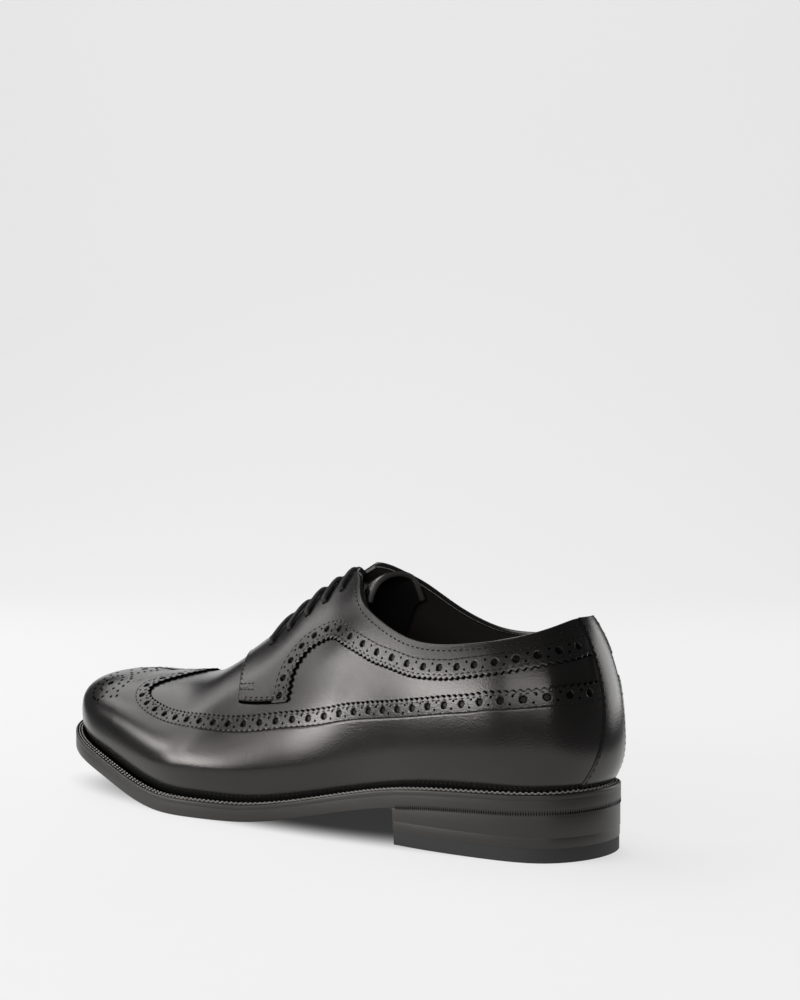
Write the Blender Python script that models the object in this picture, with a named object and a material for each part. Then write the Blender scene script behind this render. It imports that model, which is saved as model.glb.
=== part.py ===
"""A full brogue derby shoe for the left foot, built empty and standing on its sole.

Lengths in the tables are millimetres.  x runs from the back of the heel to the toe,
y to the wearer's left (the outer side of this foot) and z up from the ground.  The
finished mesh is in metres with the middle of the base at the world origin.

The leather follows one surface, the last.  A point of it is given by a spot on a flat
pattern: p runs along the shoe and q out from the ridge, positive on the outer side.
Beyond the heel and toe centres the pattern turns round those centres like a fan.
"""
import bmesh
import bpy
import numpy as np

MM = 0.001
BASE_MIDDLE_X = 152.92
BASE_MIDDLE_Y = 0.22

SHOE_LENGTH = 308.0
OUTSOLE = 5.3
WELT = 1.95
SOLE = 7.5
SEAT_GAP = 0.25

HEEL_X = 36.0
TOE_X = 250.0
HEEL_TURN = 53.4
TOE_TURN = 66.0
BACK = HEEL_X - HEEL_TURN
TIP = TOE_X + TOE_TURN
GIRTH = 60.0

TUCK_SHARE = 0.22
TUCK_START = np.radians(35.0)

WALL = 2.0
OVERLAY = 1.0
OVERLAY_GAP = 0.45
BASE_DEPTH = OVERLAY + OVERLAY_GAP
BACKSTAY_PROUD = 0.4
EDGE_GAP = 0.5

THROAT_HALF = 2.5
THROAT_FRONT = 199.0
CORNER_OUTER = 127.5
CORNER_INNER = 122.5
PEAK_LEAN = 2.5
PEAK_LEAN_HALF = 25.0
PEAK_LEAN_FROM = 205.0
PEAK_LEAN_RUN = 15.0

TONGUE_THICK = 2.0
TONGUE_SLOPE = 1.2
TONGUE_DRAW = 6.0
TONGUE_HALF = 15.0
TONGUE_FREE_RADIUS = 14.0
TONGUE_FREE_TURN = np.radians(86.0)
TONGUE_FREE_FROM = 126.0
TONGUE_FREE_AT = 108.0
TONGUE_SLANT = 0.33
TONGUE_ROOM = 2.05

INSOLE_RISE = 3.0
INSOLE_CLEAR = 2.7

HEEL_BREAST = 79.5
TOP_PIECE = 5.7
LIFT = 3.8
HEEL_TAPER = 0.0012
HEEL_COLUMNS = 19
OUTSOLE_COLUMNS = 61

EYELETS = 5
EYELET_FIRST = 167.7
EYELET_STEP = 9.05
EYELET_SHARE = 0.742
EYELET_SHARE_STEP = 0.0165
EYELET_RADIUS = 2.0
HOLE_SIDES = 8
CUT_ABOVE = 3.0
CUT_BELOW = 5.0
LACE_RADIUS = 1.2
LACE_SIDES = 6

# x, outer edge y, inner edge y
SOLE_EDGE = (
    (0, 0.0, 0.0),
    (10, 25.6, -25.6),
    (36, 34.3, -34.3),
    (76, 36.2, -33.0),
    (112, 34.6, -28.5),
    (150, 41.4, -32.0),
    (190, 50.0, -45.5),
    (225, 47.6, -49.8),
    (250, 42.4, -46.0),
    (275, 35.4, -37.6),
    (293, 24.6, -26.4),
    (308, -3.2, -3.2),
)

# x, height of the outsole's underside
SOLE_UNDERSIDE = (
    (0, 19.7),
    (40, 18.0),
    (78.3, 15.0),
    (125, 5.8),
    (145, 2.0),
    (160, 0.3),
    (172, 0.0),
    (192, 0.0),
    (205, 0.4),
    (222, 2.7),
    (250, 9.4),
    (280, 16.4),
    (308, 22.4),
)

# along, inset outer and inner, swell outer and inner, widest height outer and inner,
# axis y, ridge height, fullness outer and inner
LAST_COLUMNS = (
    "along", "inset_o", "inset_i", "swell_o", "swell_i", "wide_o", "wide_i",
    "axis", "ridge", "full_o", "full_i",
)
LAST = (
    (BACK, 3.8, 3.8, 5.6, 5.6, 20.0, 20.0, 0.0, 109.5, 1.00, 1.00),
    (10.0, 4.2, 4.2, 6.0, 6.0, 20.0, 20.0, 0.0, 110.0, 1.00, 1.00),
    (36.0, 5.0, 5.0, 6.0, 6.0, 20.0, 20.0, 0.0, 112.0, 1.00, 1.00),
    (78.0, 5.5, 5.5, 4.5, 4.5, 18.0, 20.0, -0.3, 117.0, 1.05, 1.05),
    (112.0, 5.5, 4.0, 4.5, 3.0, 16.0, 20.0, -0.6, 117.5, 1.20, 1.20),
    (130.0, 5.8, 4.5, 4.8, 3.5, 15.0, 19.0, -0.8, 109.5, 1.35, 1.30),
    (150.0, 6.0, 5.0, 5.0, 4.0, 15.0, 18.0, -1.2, 99.2, 1.40, 1.35),
    (170.0, 6.2, 5.5, 4.8, 4.0, 14.5, 17.0, -1.7, 85.6, 1.40, 1.35),
    (190.0, 6.5, 6.0, 4.5, 4.0, 14.0, 15.0, -2.3, 72.5, 1.30, 1.25),
    (208.0, 6.5, 6.0, 4.0, 4.0, 13.0, 14.0, -2.8, 62.5, 1.15, 1.15),
    (228.0, 6.5, 6.0, 3.5, 3.5, 12.0, 13.0, -3.3, 58.2, 1.00, 1.00),
    (250.0, 6.2, 6.2, 3.0, 3.0, 11.0, 11.0, -3.3, 56.4, 0.88, 0.88),
    (TIP, 6.0, 6.0, 3.0, 3.0, 10.0, 10.0, -3.0, 56.4, 0.74, 0.74),
)

# along, share of the wall height at the collar: outer side
COLLAR_OUTER = (
    (BACK, 0.640),
    (-1.0, 0.616),
    (19.0, 0.565),
    (39.0, 0.527),
    (59.0, 0.510),
    (72.0, 0.517),
    (84.0, 0.541),
    (96.0, 0.582),
    (104.0, 0.620),
    (112.0, 0.680),
    (119.0, 0.772),
    (127.5, 0.900),
)

# along, share of the wall height at the collar: inner side
COLLAR_INNER = (
    (BACK, 0.640),
    (-1.0, 0.618),
    (19.0, 0.570),
    (39.0, 0.535),
    (59.0, 0.519),
    (72.0, 0.533),
    (81.0, 0.562),
    (90.0, 0.606),
    (98.0, 0.662),
    (105.0, 0.720),
    (113.0, 0.795),
    (118.0, 0.862),
    (122.5, 0.930),
)

# facing: along and share on its lower edge, along on its upper edge
FACING = (
    (170.5, 0.519, 196.5),
    (167.0, 0.510, 192.5),
    (162.0, 0.498, 187.5),
    (156.0, 0.486, 180.0),
    (149.0, 0.474, 172.0),
    (142.9, 0.467, 163.0),
    (143.3, 0.506, 159.0),
    (143.8, 0.552, 155.0),
    (141.9, 0.590, 150.0),
    (137.6, 0.615, 142.0),
    (132.8, 0.619, 135.0),
    (126.6, 0.611, 127.5),
    (118.5, 0.569, 120.5),
    (110.9, 0.527, 113.0),
    (104.0, 0.496, 105.5),
    (97.0, 0.469, 98.0),
    (84.7, 0.439, 86.0),
    (72.3, 0.414, 73.0),
    (60.8, 0.406, 61.0),
    (50.8, 0.406, 51.0),
    (40.8, 0.416, 41.0),
    (31.7, 0.428, 32.0),
    (25.0, 0.439, 25.0),
    (18.0, 0.452, 18.0),
    (10.3, 0.467, 10.3),
    (3.0, 0.480, 3.0),
    (-4.5, 0.490, -4.5),
    (-12.0, 0.498, -12.0),
)
FACING_ROWS = (0.0, 0.2, 0.4, 0.58, 0.75, 0.89, 1.0)

# wing: along and share on its upper edge, along at the sole seam below and at the
# shoe's opening above
WING = (
    (-12.0, 0.407, -12.0, -12.0),
    (-4.5, 0.409, -4.5, -4.5),
    (3.0, 0.410, 3.0, 3.0),
    (10.3, 0.407, 10.3, 10.3),
    (18.0, 0.402, 18.0, 18.0),
    (26.5, 0.397, 26.5, 26.5),
    (38.0, 0.386, 38.0, 37.5),
    (50.0, 0.377, 50.0, 48.5),
    (63.0, 0.370, 63.0, 60.0),
    (77.0, 0.368, 77.0, 72.0),
    (98.0, 0.380, 98.5, 90.0),
    (117.0, 0.409, 118.0, 107.5),
    (135.2, 0.442, 137.0, CORNER_OUTER),
    (154.0, 0.463, 157.0, 142.0),
    (173.0, 0.485, 179.0, 155.5),
    (191.0, 0.508, 200.0, 167.0),
    (208.0, 0.523, 219.0, 176.5),
    (219.7, 0.536, 235.0, 182.0),
    (229.2, 0.577, 249.0, 186.0),
    (233.5, 0.608, 258.0, 188.0),
    (236.0, 0.652, 266.0, 189.7),
    (237.0, 0.702, 274.0, 191.2),
    (236.6, 0.748, 282.0, 192.6),
    (235.2, 0.795, 289.0, 194.0),
    (233.0, 0.844, 296.0, 195.3),
    (230.4, 0.897, 302.5, 196.6),
    (228.3, 0.950, 309.0, 197.8),
    (226.0, 1.000, TIP, THROAT_FRONT),
)
WING_ROWS = (0.0, 0.06, 0.12, 0.18, 0.24, 0.31, 0.39, 0.5, 0.66, 0.83, 1.0)
ABOVE_WING_ROWS = (0.24, 0.47, 0.68, 0.86, 1.0)

# backstay: share of the wall height, outer and inner edge measured round the back
BACKSTAY = (
    (0.00, 11.0, -18.0),
    (0.06, 10.0, -17.0),
    (0.12, 7.5, -14.5),
    (0.18, 5.0, -12.0),
    (0.24, 3.2, -10.2),
    (0.32, 2.0, -9.0),
    (0.40, 1.9, -8.9),
    (0.48, 2.0, -9.0),
    (0.56, 2.4, -9.4),
    (0.64, 3.0, -10.0),
)
BACKSTAY_COLUMNS = 6

# tongue: x, drop below the last's ridge, fullness of its arch
TONGUE = (
    (207.0, 4.9, 1.15),
    (190.0, 5.6, 1.30),
    (170.0, 5.9, 1.40),
    (150.0, 6.0, 1.40),
    (136.0, 6.3, 1.36),
    (126.0, 8.2, 1.30),
    (120.0, 9.4, 1.22),
    (116.0, 9.8, 1.18),
    (112.0, 9.8, 1.10),
    (107.5, 9.6, 1.02),
)
TONGUE_ACROSS = 12

# lace bar: part of the way from an eyelet to the ridge, height off the last
LACE_BAR = (
    (0.00, -0.8),
    (0.00, 0.6),
    (0.10, 1.6),
    (0.38, 1.75),
    (0.70, 1.8),
    (1.00, 1.85),
)

# name, base colour, roughness
MATERIALS = {
    "calf_upper": (0.016, 0.38),
    "calf_wing": (0.014, 0.36),
    "calf_facing": (0.014, 0.36),
    "calf_backstay": (0.015, 0.36),
    "calf_tongue": (0.018, 0.42),
    "sole_leather": (0.030, 0.45),
    "welt_leather": (0.022, 0.45),
    "lift_leather": (0.028, 0.45),
    "seat_leather": (0.029, 0.45),
    "heel_rubber": (0.020, 0.60),
    "insole_leather": (0.045, 0.60),
    "lace_cord": (0.012, 0.55),
}


def spline(knots, values, start=None, end=None):
    """A smooth cubic through the knots; the end slopes are free unless given."""
    x = np.asarray(knots, float)
    y = np.asarray(values, float)
    count = len(x)
    step = np.diff(x)
    rise = np.diff(y) / step
    matrix = np.zeros((count, count))
    right = np.zeros(count)
    for i in range(1, count - 1):
        matrix[i, i - 1:i + 2] = step[i - 1], 2 * (step[i - 1] + step[i]), step[i]
        right[i] = 6 * (rise[i] - rise[i - 1])
    matrix[0, 0] = 1.0
    matrix[-1, -1] = 1.0
    if start is not None:
        matrix[0, :2] = 2 * step[0], step[0]
        right[0] = 6 * (rise[0] - start)
    if end is not None:
        matrix[-1, -2:] = step[-1], 2 * step[-1]
        right[-1] = 6 * (end - rise[-1])
    bend = np.linalg.solve(matrix, right)

    def value(at):
        at = np.clip(np.asarray(at, float), x[0], x[-1])
        i = np.clip(np.searchsorted(x, at, side="right") - 1, 0, count - 2)
        after = at - x[i]
        before = x[i + 1] - at
        span = step[i]
        cubic = (bend[i] * before ** 3 + bend[i + 1] * after ** 3) / (6 * span)
        near = (y[i] / span - bend[i] * span / 6) * before
        far = (y[i + 1] / span - bend[i + 1] * span / 6) * after
        return cubic + near + far

    return value


def column(table, index, start=None, end=None):
    """One column of a table as a smooth function of its first column."""
    return spline([row[0] for row in table], [row[index] for row in table], start, end)


def edge_turn(x):
    """Runs evenly round the rounded ends of the sole's outline."""
    return np.arccos(np.clip(1 - 2 * np.asarray(x, float) / SHOE_LENGTH, -1, 1))


EDGE_STOPS = [edge_turn(row[0]) for row in SOLE_EDGE]
EDGE_OUTER = spline(EDGE_STOPS, [row[1] for row in SOLE_EDGE])
EDGE_INNER = spline(EDGE_STOPS, [row[2] for row in SOLE_EDGE])
UNDERSIDE = column(SOLE_UNDERSIDE, 1)
LAST_AT = {}
for place, title in enumerate(LAST_COLUMNS[1:], start=1):
    LAST_AT[title] = column(LAST, place, 0.0, 0.0)
COLLAR_AT = {1: column(COLLAR_OUTER, 1, 0.0), -1: column(COLLAR_INNER, 1, 0.0)}
STAY_OUTER = column(BACKSTAY, 1)
STAY_INNER = column(BACKSTAY, 2)


def underside(x):
    """Height of the outsole's underside, flat on the ground under the ball."""
    return np.maximum(UNDERSIDE(x), 0.0)


def sole_top(x):
    """Height of the welt's upper face."""
    return underside(x) + SOLE


def station(along, side):
    """Centre and outward direction of the upright plane at a station."""
    heel = np.clip((along - BACK) / HEEL_TURN, 0, 1)
    toe = np.clip((TIP - along) / TOE_TURN, 0, 1)
    angle = np.where(along < HEEL_X, np.pi - np.pi / 2 * heel, np.pi / 2 * toe)
    centre_x = np.clip(along, HEEL_X, TOE_X)
    return centre_x, LAST_AT["axis"](centre_x), np.cos(angle), side * np.sin(angle)


def reach(along, side):
    """Distance from a station's centre out to the edge of the sole, by halving."""
    centre_x, centre_y, out_x, out_y = station(along, side)
    near = np.zeros_like(centre_x)
    far = np.full_like(centre_x, 120.0)
    for _ in range(36):
        middle = (near + far) / 2
        x = centre_x + out_x * middle
        y = centre_y + out_y * middle
        turn = edge_turn(x)
        inside = (x > 0) & (x < SHOE_LENGTH) & (y < EDGE_OUTER(turn)) & (y > EDGE_INNER(turn))
        near = np.where(inside, middle, near)
        far = np.where(inside, far, middle)
    return near


def by_side(title, along, side):
    """A column of the last that differs between the outer and inner side."""
    outer = LAST_AT[title + "_o"](along)
    inner = LAST_AT[title + "_i"](along)
    return np.where(side > 0, outer, inner)


def seam_reach(along, side):
    """Distance from a station's centre out to the seam where leather meets welt."""
    return reach(along, side) - by_side("inset", along, side)


def last_point(along, share, side, ridge=None, full=None):
    """A point of the last: tucked in at the seam, widest a little above it, then an
    arch up to the ridge.  The share is 0 at the seam and 1 on the ridge."""
    centre_x, centre_y, out_x, out_y = station(along, side)
    foot = seam_reach(along, side)
    wide = foot + by_side("swell", along, side)
    seat = sole_top(centre_x + out_x * foot)
    level = seat + by_side("wide", along, side)
    ridge = LAST_AT["ridge"](along) if ridge is None else ridge
    full = by_side("full", along, side) if full is None else full
    low = TUCK_START + (np.pi / 2 - TUCK_START) * np.clip(share / TUCK_SHARE, 0, 1)
    high = np.pi / 2 * np.clip((share - TUCK_SHARE) / (1 - TUCK_SHARE), 0, 1)
    tuck_out = (np.sin(low) - np.sin(TUCK_START)) / (1 - np.sin(TUCK_START))
    tuck_up = 1 - np.cos(low) / np.cos(TUCK_START)
    tucked = share < TUCK_SHARE
    cosine = np.maximum(np.cos(high), 0.0)
    out = np.where(tucked, foot + (wide - foot) * tuck_out, wide * cosine ** full)
    up = np.where(tucked, seat + (level - seat) * tuck_up,
                  level + (ridge - level) * np.sin(high) ** full)
    return np.stack([centre_x + out_x * out, centre_y + out_y * out, up], -1)


def to_pattern(along, share, side):
    """The flat pattern's p and q of a point of the last."""
    along = np.asarray(along, float)
    heel = np.clip((along - BACK) / HEEL_TURN, 0, 1)
    toe = np.clip((TIP - along) / TOE_TURN, 0, 1)
    angle = np.where(along < HEEL_X, np.pi - np.pi / 2 * heel, np.pi / 2 * toe)
    out = GIRTH * (1 - np.asarray(share, float))
    p = np.clip(along, HEEL_X, TOE_X) + out * np.cos(angle)
    return np.stack([p, side * out * np.sin(angle)], -1)


def from_pattern(pattern):
    """Station, share and side of a spot on the flat pattern."""
    p, q = pattern[..., 0], pattern[..., 1]
    side = np.where(q < 0, -1.0, 1.0)
    across = np.abs(q)
    heel = np.hypot(np.minimum(p - HEEL_X, 0), across)
    toe = np.hypot(np.maximum(p - TOE_X, 0), across)
    heel_angle = np.arctan2(across, HEEL_X - p)
    toe_angle = np.arctan2(across, p - TOE_X)
    along = np.where(p < HEEL_X, BACK + HEEL_TURN * heel_angle / (np.pi / 2), p)
    along = np.where(p > TOE_X, TIP - TOE_TURN * toe_angle / (np.pi / 2), along)
    out = np.where(p < HEEL_X, heel, np.where(p > TOE_X, toe, across))
    return along, 1 - out / GIRTH, side


def on_last(pattern):
    """The point of the last above a spot of the pattern."""
    along, share, side = from_pattern(pattern)
    return last_point(along, share, side)


def outward(pattern):
    """The direction square to the last at a spot of the pattern."""
    small = 0.05
    step_p = np.array([small, 0.0])
    step_q = np.array([0.0, small])
    along_p = on_last(pattern + step_p) - on_last(pattern - step_p)
    along_q = on_last(pattern + step_q) - on_last(pattern - step_q)
    normal = np.cross(along_p, along_q)
    return normal / np.linalg.norm(normal, axis=-1, keepdims=True)


def off_last(pattern, height):
    """A point standing a height above the last, below it where negative."""
    return on_last(pattern) + outward(pattern) * np.asarray(height)[..., None]


def opening_share(along, side):
    """Share of the wall at the opening: the collar, then the edge of the throat."""
    full = by_side("full", along, side)
    wide = seam_reach(along, side) + by_side("swell", along, side)
    high = np.arccos(np.clip(THROAT_HALF / wide, 0, 1) ** (1 / full))
    throat = TUCK_SHARE + (1 - TUCK_SHARE) * high / (np.pi / 2)
    collar = COLLAR_AT[side](along)
    corner = CORNER_OUTER if side > 0 else CORNER_INNER
    return np.where(along < corner, np.minimum(collar, throat), throat)


def clear_of_stay(along, share, side):
    """Moves a station near the heel forward of the backstay's edge."""
    edge = STAY_OUTER(share) if side > 0 else -STAY_INNER(share)
    first = BACK + edge + EDGE_GAP
    start = WING[0][0]
    squeezed = HEEL_X - (HEEL_X - along) * (HEEL_X - first) / (HEEL_X - start)
    return np.where(along < HEEL_X, squeezed, along)


def ease(part):
    """Rises smoothly from 0 to 1."""
    part = np.clip(part, 0, 1)
    return part * part * (3 - 2 * part)


def sheet(lower, upper, rows):
    """Pattern spots on straight lines between two edges, one line a column."""
    rows = np.asarray(rows)[None, :, None]
    return lower[:, None, :] * (1 - rows) + upper[:, None, :] * rows


def material(name):
    """A plain surface with its own colour and roughness."""
    made = bpy.data.materials.new(name)
    made.use_nodes = True
    shade, roughness = MATERIALS[name]
    surface = made.node_tree.nodes["Principled BSDF"]
    surface.inputs["Base Color"].default_value = (shade, shade * 0.97, shade * 0.94, 1.0)
    surface.inputs["Roughness"].default_value = roughness
    surface.inputs["Metallic"].default_value = 0.0
    return made


def add_object(name, points, faces, surface, smooth):
    """A mesh object in metres, its faces turned outward."""
    moved = (np.asarray(points) - (BASE_MIDDLE_X, BASE_MIDDLE_Y, 0.0)) * MM
    mesh = bpy.data.meshes.new(name)
    mesh.from_pydata(moved.tolist(), [], faces)
    shape = bmesh.new()
    shape.from_mesh(mesh)
    bmesh.ops.remove_doubles(shape, verts=shape.verts, dist=1e-6)
    bmesh.ops.recalc_face_normals(shape, faces=shape.faces)
    bmesh.ops.triangulate(shape, faces=shape.faces)
    shape.to_mesh(mesh)
    shape.free()
    mesh.polygons.foreach_set("use_smooth", [smooth] * len(mesh.polygons))
    made = bpy.data.objects.new(name, mesh)
    bpy.context.scene.collection.objects.link(made)
    mesh.materials.append(surface)
    return made


def grid_solid(name, outer, inner, surface, closed=False, smooth=True):
    """A solid between two grids of points, closed round the columns or open."""
    columns, rows = outer.shape[:2]
    points = np.concatenate([outer.reshape(-1, 3), inner.reshape(-1, 3)])
    under = columns * rows
    faces = []
    spans = columns if closed else columns - 1
    for i in range(spans):
        j = (i + 1) % columns
        for k in range(rows - 1):
            face = (i * rows + k, j * rows + k, j * rows + k + 1, i * rows + k + 1)
            faces.append(face)
            faces.append(tuple(under + v for v in reversed(face)))
        for k in (0, rows - 1):
            faces.append((i * rows + k, j * rows + k, under + j * rows + k, under + i * rows + k))
    if not closed:
        for i in (0, columns - 1):
            for k in range(rows - 1):
                a = i * rows + k
                faces.append((a, a + 1, under + a + 1, under + a))
    return add_object(name, points, faces, surface, smooth)


def slab(name, outer, inner, top, bottom, surface):
    """A solid between two edges: both run from heel to toe and meet or stop square."""
    outer = np.asarray(outer)
    inner = np.asarray(inner)
    points = np.concatenate([
        np.column_stack([outer, top(outer[:, 0])]),
        np.column_stack([inner, top(inner[:, 0])]),
        np.column_stack([outer, bottom(outer[:, 0])]),
        np.column_stack([inner, bottom(inner[:, 0])]),
    ])
    count = len(outer)
    faces = []
    for i in range(count - 1):
        a, b, c, d = i, count + i, 2 * count + i, 3 * count + i
        faces.append((a, b, b + 1, a + 1))
        faces.append((c, c + 1, d + 1, d))
        faces.append((a, a + 1, c + 1, c))
        faces.append((b, d, d + 1, b + 1))
    for i in (0, count - 1):
        faces.append((i, 2 * count + i, 3 * count + i, count + i))
    return add_object(name, points, faces, surface, False)


def sole_sides(first, last, count, inset=0.0):
    """The sole's outer and inner edge between two stations, drawn in by an inset."""
    turn = np.linspace(edge_turn(first), edge_turn(last), count)
    x = SHOE_LENGTH / 2 * (1 - np.cos(turn))
    outer = np.column_stack([x, EDGE_OUTER(turn)])
    inner = np.column_stack([x, EDGE_INNER(turn)])
    centre = np.array([HEEL_X, 0.0])
    shrink = 1 - inset
    return centre + (outer - centre) * shrink, centre + (inner - centre) * shrink


def build_outsole():
    outer, inner = sole_sides(0.0, SHOE_LENGTH, OUTSOLE_COLUMNS)

    def top(x):
        return underside(x) + OUTSOLE

    slab("outsole", outer, inner, top, underside, material("sole_leather"))


def build_heel():
    """A rubber top piece, a lift and a sloped seat lift under the outsole."""
    levels = (
        ("heel_top_piece", 0.0, TOP_PIECE, "heel_rubber"),
        ("heel_lift", TOP_PIECE + SEAT_GAP, TOP_PIECE + SEAT_GAP + LIFT, "lift_leather"),
        ("heel_seat_lift", TOP_PIECE + 2 * SEAT_GAP + LIFT, None, "seat_leather"),
    )
    for name, low, high, surface in levels:
        drop = underside(HEEL_BREAST) - low
        outer, inner = sole_sides(0.0, HEEL_BREAST, HEEL_COLUMNS, HEEL_TAPER * drop)

        def top(x, high=high):
            return underside(x) - SEAT_GAP if high is None else np.full_like(x, high)

        def bottom(x, low=low):
            return np.full_like(x, low)

        slab(name, outer, inner, top, bottom, material(surface))


def ring_stations():
    """Stations round one side, the same as the columns of the upper."""
    return np.array([BACK] + [row[2] for row in WING])


def plan_point(along, side, distance):
    """A plan point out from a station's centre."""
    centre_x, centre_y, out_x, out_y = station(along, side)
    return np.column_stack([centre_x + out_x * distance, centre_y + out_y * distance])


def both_sides(along, spot):
    """Runs a function of station and side up the outer side and back the inner."""
    outer = spot(along, 1)
    inner = spot(along[::-1], -1)
    return np.concatenate([outer, inner[1:-1]])


def build_welt():
    along = ring_stations()
    edge = both_sides(along, lambda a, s: plan_point(a, s, reach(a, s)))
    seam = both_sides(along, lambda a, s: plan_point(a, s, seam_reach(a, s) - WALL - BASE_DEPTH))
    plan = np.stack([edge, seam], axis=1)
    low = underside(plan[..., 0]) + OUTSOLE + SEAT_GAP
    bottom = np.concatenate([plan, low[..., None]], axis=-1)
    top = bottom + (0.0, 0.0, WELT)
    grid_solid("welt", top, bottom, material("welt_leather"), closed=True, smooth=False)


def build_insole():
    along = ring_stations()
    inset = WALL + BASE_DEPTH + INSOLE_CLEAR
    outer = plan_point(along, 1, seam_reach(along, 1) - inset)
    inner = plan_point(along, -1, seam_reach(along, -1) - inset)

    def top(x):
        return sole_top(x) + INSOLE_RISE

    def bottom(x):
        return underside(x) + OUTSOLE + SEAT_GAP

    slab("insole", outer, inner, top, bottom, material("insole_leather"))


def knee(along, side):
    """On the inner side the collar meets the throat a little farther back."""
    shift = np.interp(along, (100.0, CORNER_OUTER, 150.0), (0.0, CORNER_INNER - CORNER_OUTER, 0.0))
    return along + shift if side < 0 else along


def peak_lean(pattern):
    """The wing's peak leans a little to the outer side of the ridge."""
    near = np.clip(1 - np.abs(pattern[..., 1]) / PEAK_LEAN_HALF, 0, 1)
    ahead = ease((pattern[..., 0] - PEAK_LEAN_FROM) / PEAK_LEAN_RUN)
    leant = pattern.copy()
    leant[..., 1] += PEAK_LEAN * near * ahead
    return leant


def wing_lines(side):
    """Pattern spots of the wing's columns: sole seam, wing edge and opening."""
    edge_along, edge_share, foot_along, top_along = np.array(WING).T
    stop = knee(top_along, side)
    share = np.where(foot_along >= TIP, 1.0, opening_share(stop, side))
    foot = to_pattern(foot_along, np.zeros_like(foot_along), side)
    edge = peak_lean(to_pattern(edge_along, edge_share, side))
    return foot, edge, to_pattern(stop, share, side)


def upper_pattern():
    """Columns of the upper's pattern from the sole seam, by the wing, to the opening."""
    sides = []
    for side in (1, -1):
        foot, edge, top = wing_lines(side)
        low = sheet(foot, edge, WING_ROWS)
        high = sheet(edge, top, ABOVE_WING_ROWS)
        sides.append(np.concatenate([low, high], axis=1))
    collar = float(COLLAR_AT[1](BACK))
    edge_share = WING[0][1]
    rows = np.concatenate([np.array(WING_ROWS) * edge_share,
                           edge_share + (collar - edge_share) * np.array(ABOVE_WING_ROWS)])
    back = to_pattern(np.full(len(rows), BACK), rows, 1)
    return np.concatenate([back[None], sides[0], sides[1][-2::-1]])


def build_upper():
    """Vamp and quarters as one hollow wall, open at collar, throat and underneath."""
    pattern = upper_pattern()
    outer = off_last(pattern, np.full(pattern.shape[:2], -BASE_DEPTH))
    inner = off_last(pattern, np.full(pattern.shape[:2], -BASE_DEPTH - WALL))
    for wall in (outer, inner):
        wall[:, 0, 2] = sole_top(wall[:, 0, 0]) + SEAT_GAP
    return grid_solid("upper", outer, inner, material("calf_upper"), closed=True)


def overlay_solid(name, pattern, surface, proud=0.0, seated=False):
    """A leather overlay just off the upper: proud thickens it, and its foot stands
    on the welt if seated."""
    level = np.zeros(pattern.shape[:2])
    outer = off_last(pattern, level + proud)
    inner = off_last(pattern, level - OVERLAY)
    if seated:
        for face in (outer, inner):
            face[:, 0, 2] = sole_top(face[:, 0, 0]) + SEAT_GAP
    return grid_solid(name, outer, inner, surface)


def facing_pattern(side):
    """Columns of a facing from its lower edge up to the throat and collar."""
    low_along, low_share, top_along = np.array(FACING).T
    top_along = knee(top_along, side)
    top_share = opening_share(top_along, side)
    low_along = clear_of_stay(low_along, low_share, side)
    top_along = clear_of_stay(top_along, top_share, side)
    lower = to_pattern(low_along, low_share, side)
    upper = to_pattern(top_along, top_share, side)
    return sheet(lower, upper, FACING_ROWS)


def build_facings():
    yield overlay_solid("facing_outer", facing_pattern(1), material("calf_facing"))
    yield overlay_solid("facing_inner", facing_pattern(-1), material("calf_facing"))


def build_wing():
    """The long wing: toe cap drawn back along both sides to the backstay."""
    sides = []
    for side in (1, -1):
        foot, edge, _ = wing_lines(side)
        spots = sheet(foot, edge, WING_ROWS)
        along, share, _ = from_pattern(spots)
        moved = to_pattern(clear_of_stay(along, share, side), share, side)
        heel = (along < HEEL_X)[..., None]
        sides.append(np.where(heel, moved, spots))
    pattern = np.concatenate([sides[0], sides[1][-2::-1]])
    overlay_solid("wing", pattern, material("calf_wing"), seated=True)


def build_backstay():
    table = np.array(BACKSTAY)
    columns = []
    for part in np.linspace(0, 1, BACKSTAY_COLUMNS + 1):
        round_back = table[:, 1] * (1 - part) + table[:, 2] * part
        side = np.where(round_back < 0, -1, 1)
        columns.append(to_pattern(BACK + np.abs(round_back), table[:, 0], side))
    pattern = np.stack(columns)
    overlay_solid("backstay", pattern, material("calf_backstay"), proud=BACKSTAY_PROUD, seated=True)


def wall_room(x, z, side):
    """Half the width between the walls of the upper at a height."""
    wide = seam_reach(x, side) + by_side("swell", x, side)
    level = sole_top(x) + by_side("wide", x, side)
    full = by_side("full", x, side)
    rise = np.clip((z - level) / (LAST_AT["ridge"](x) - level), 0, 1)
    return wide * (1 - rise ** (2 / full)) ** (full / 2) - (WALL + BASE_DEPTH) * TONGUE_ROOM


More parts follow.
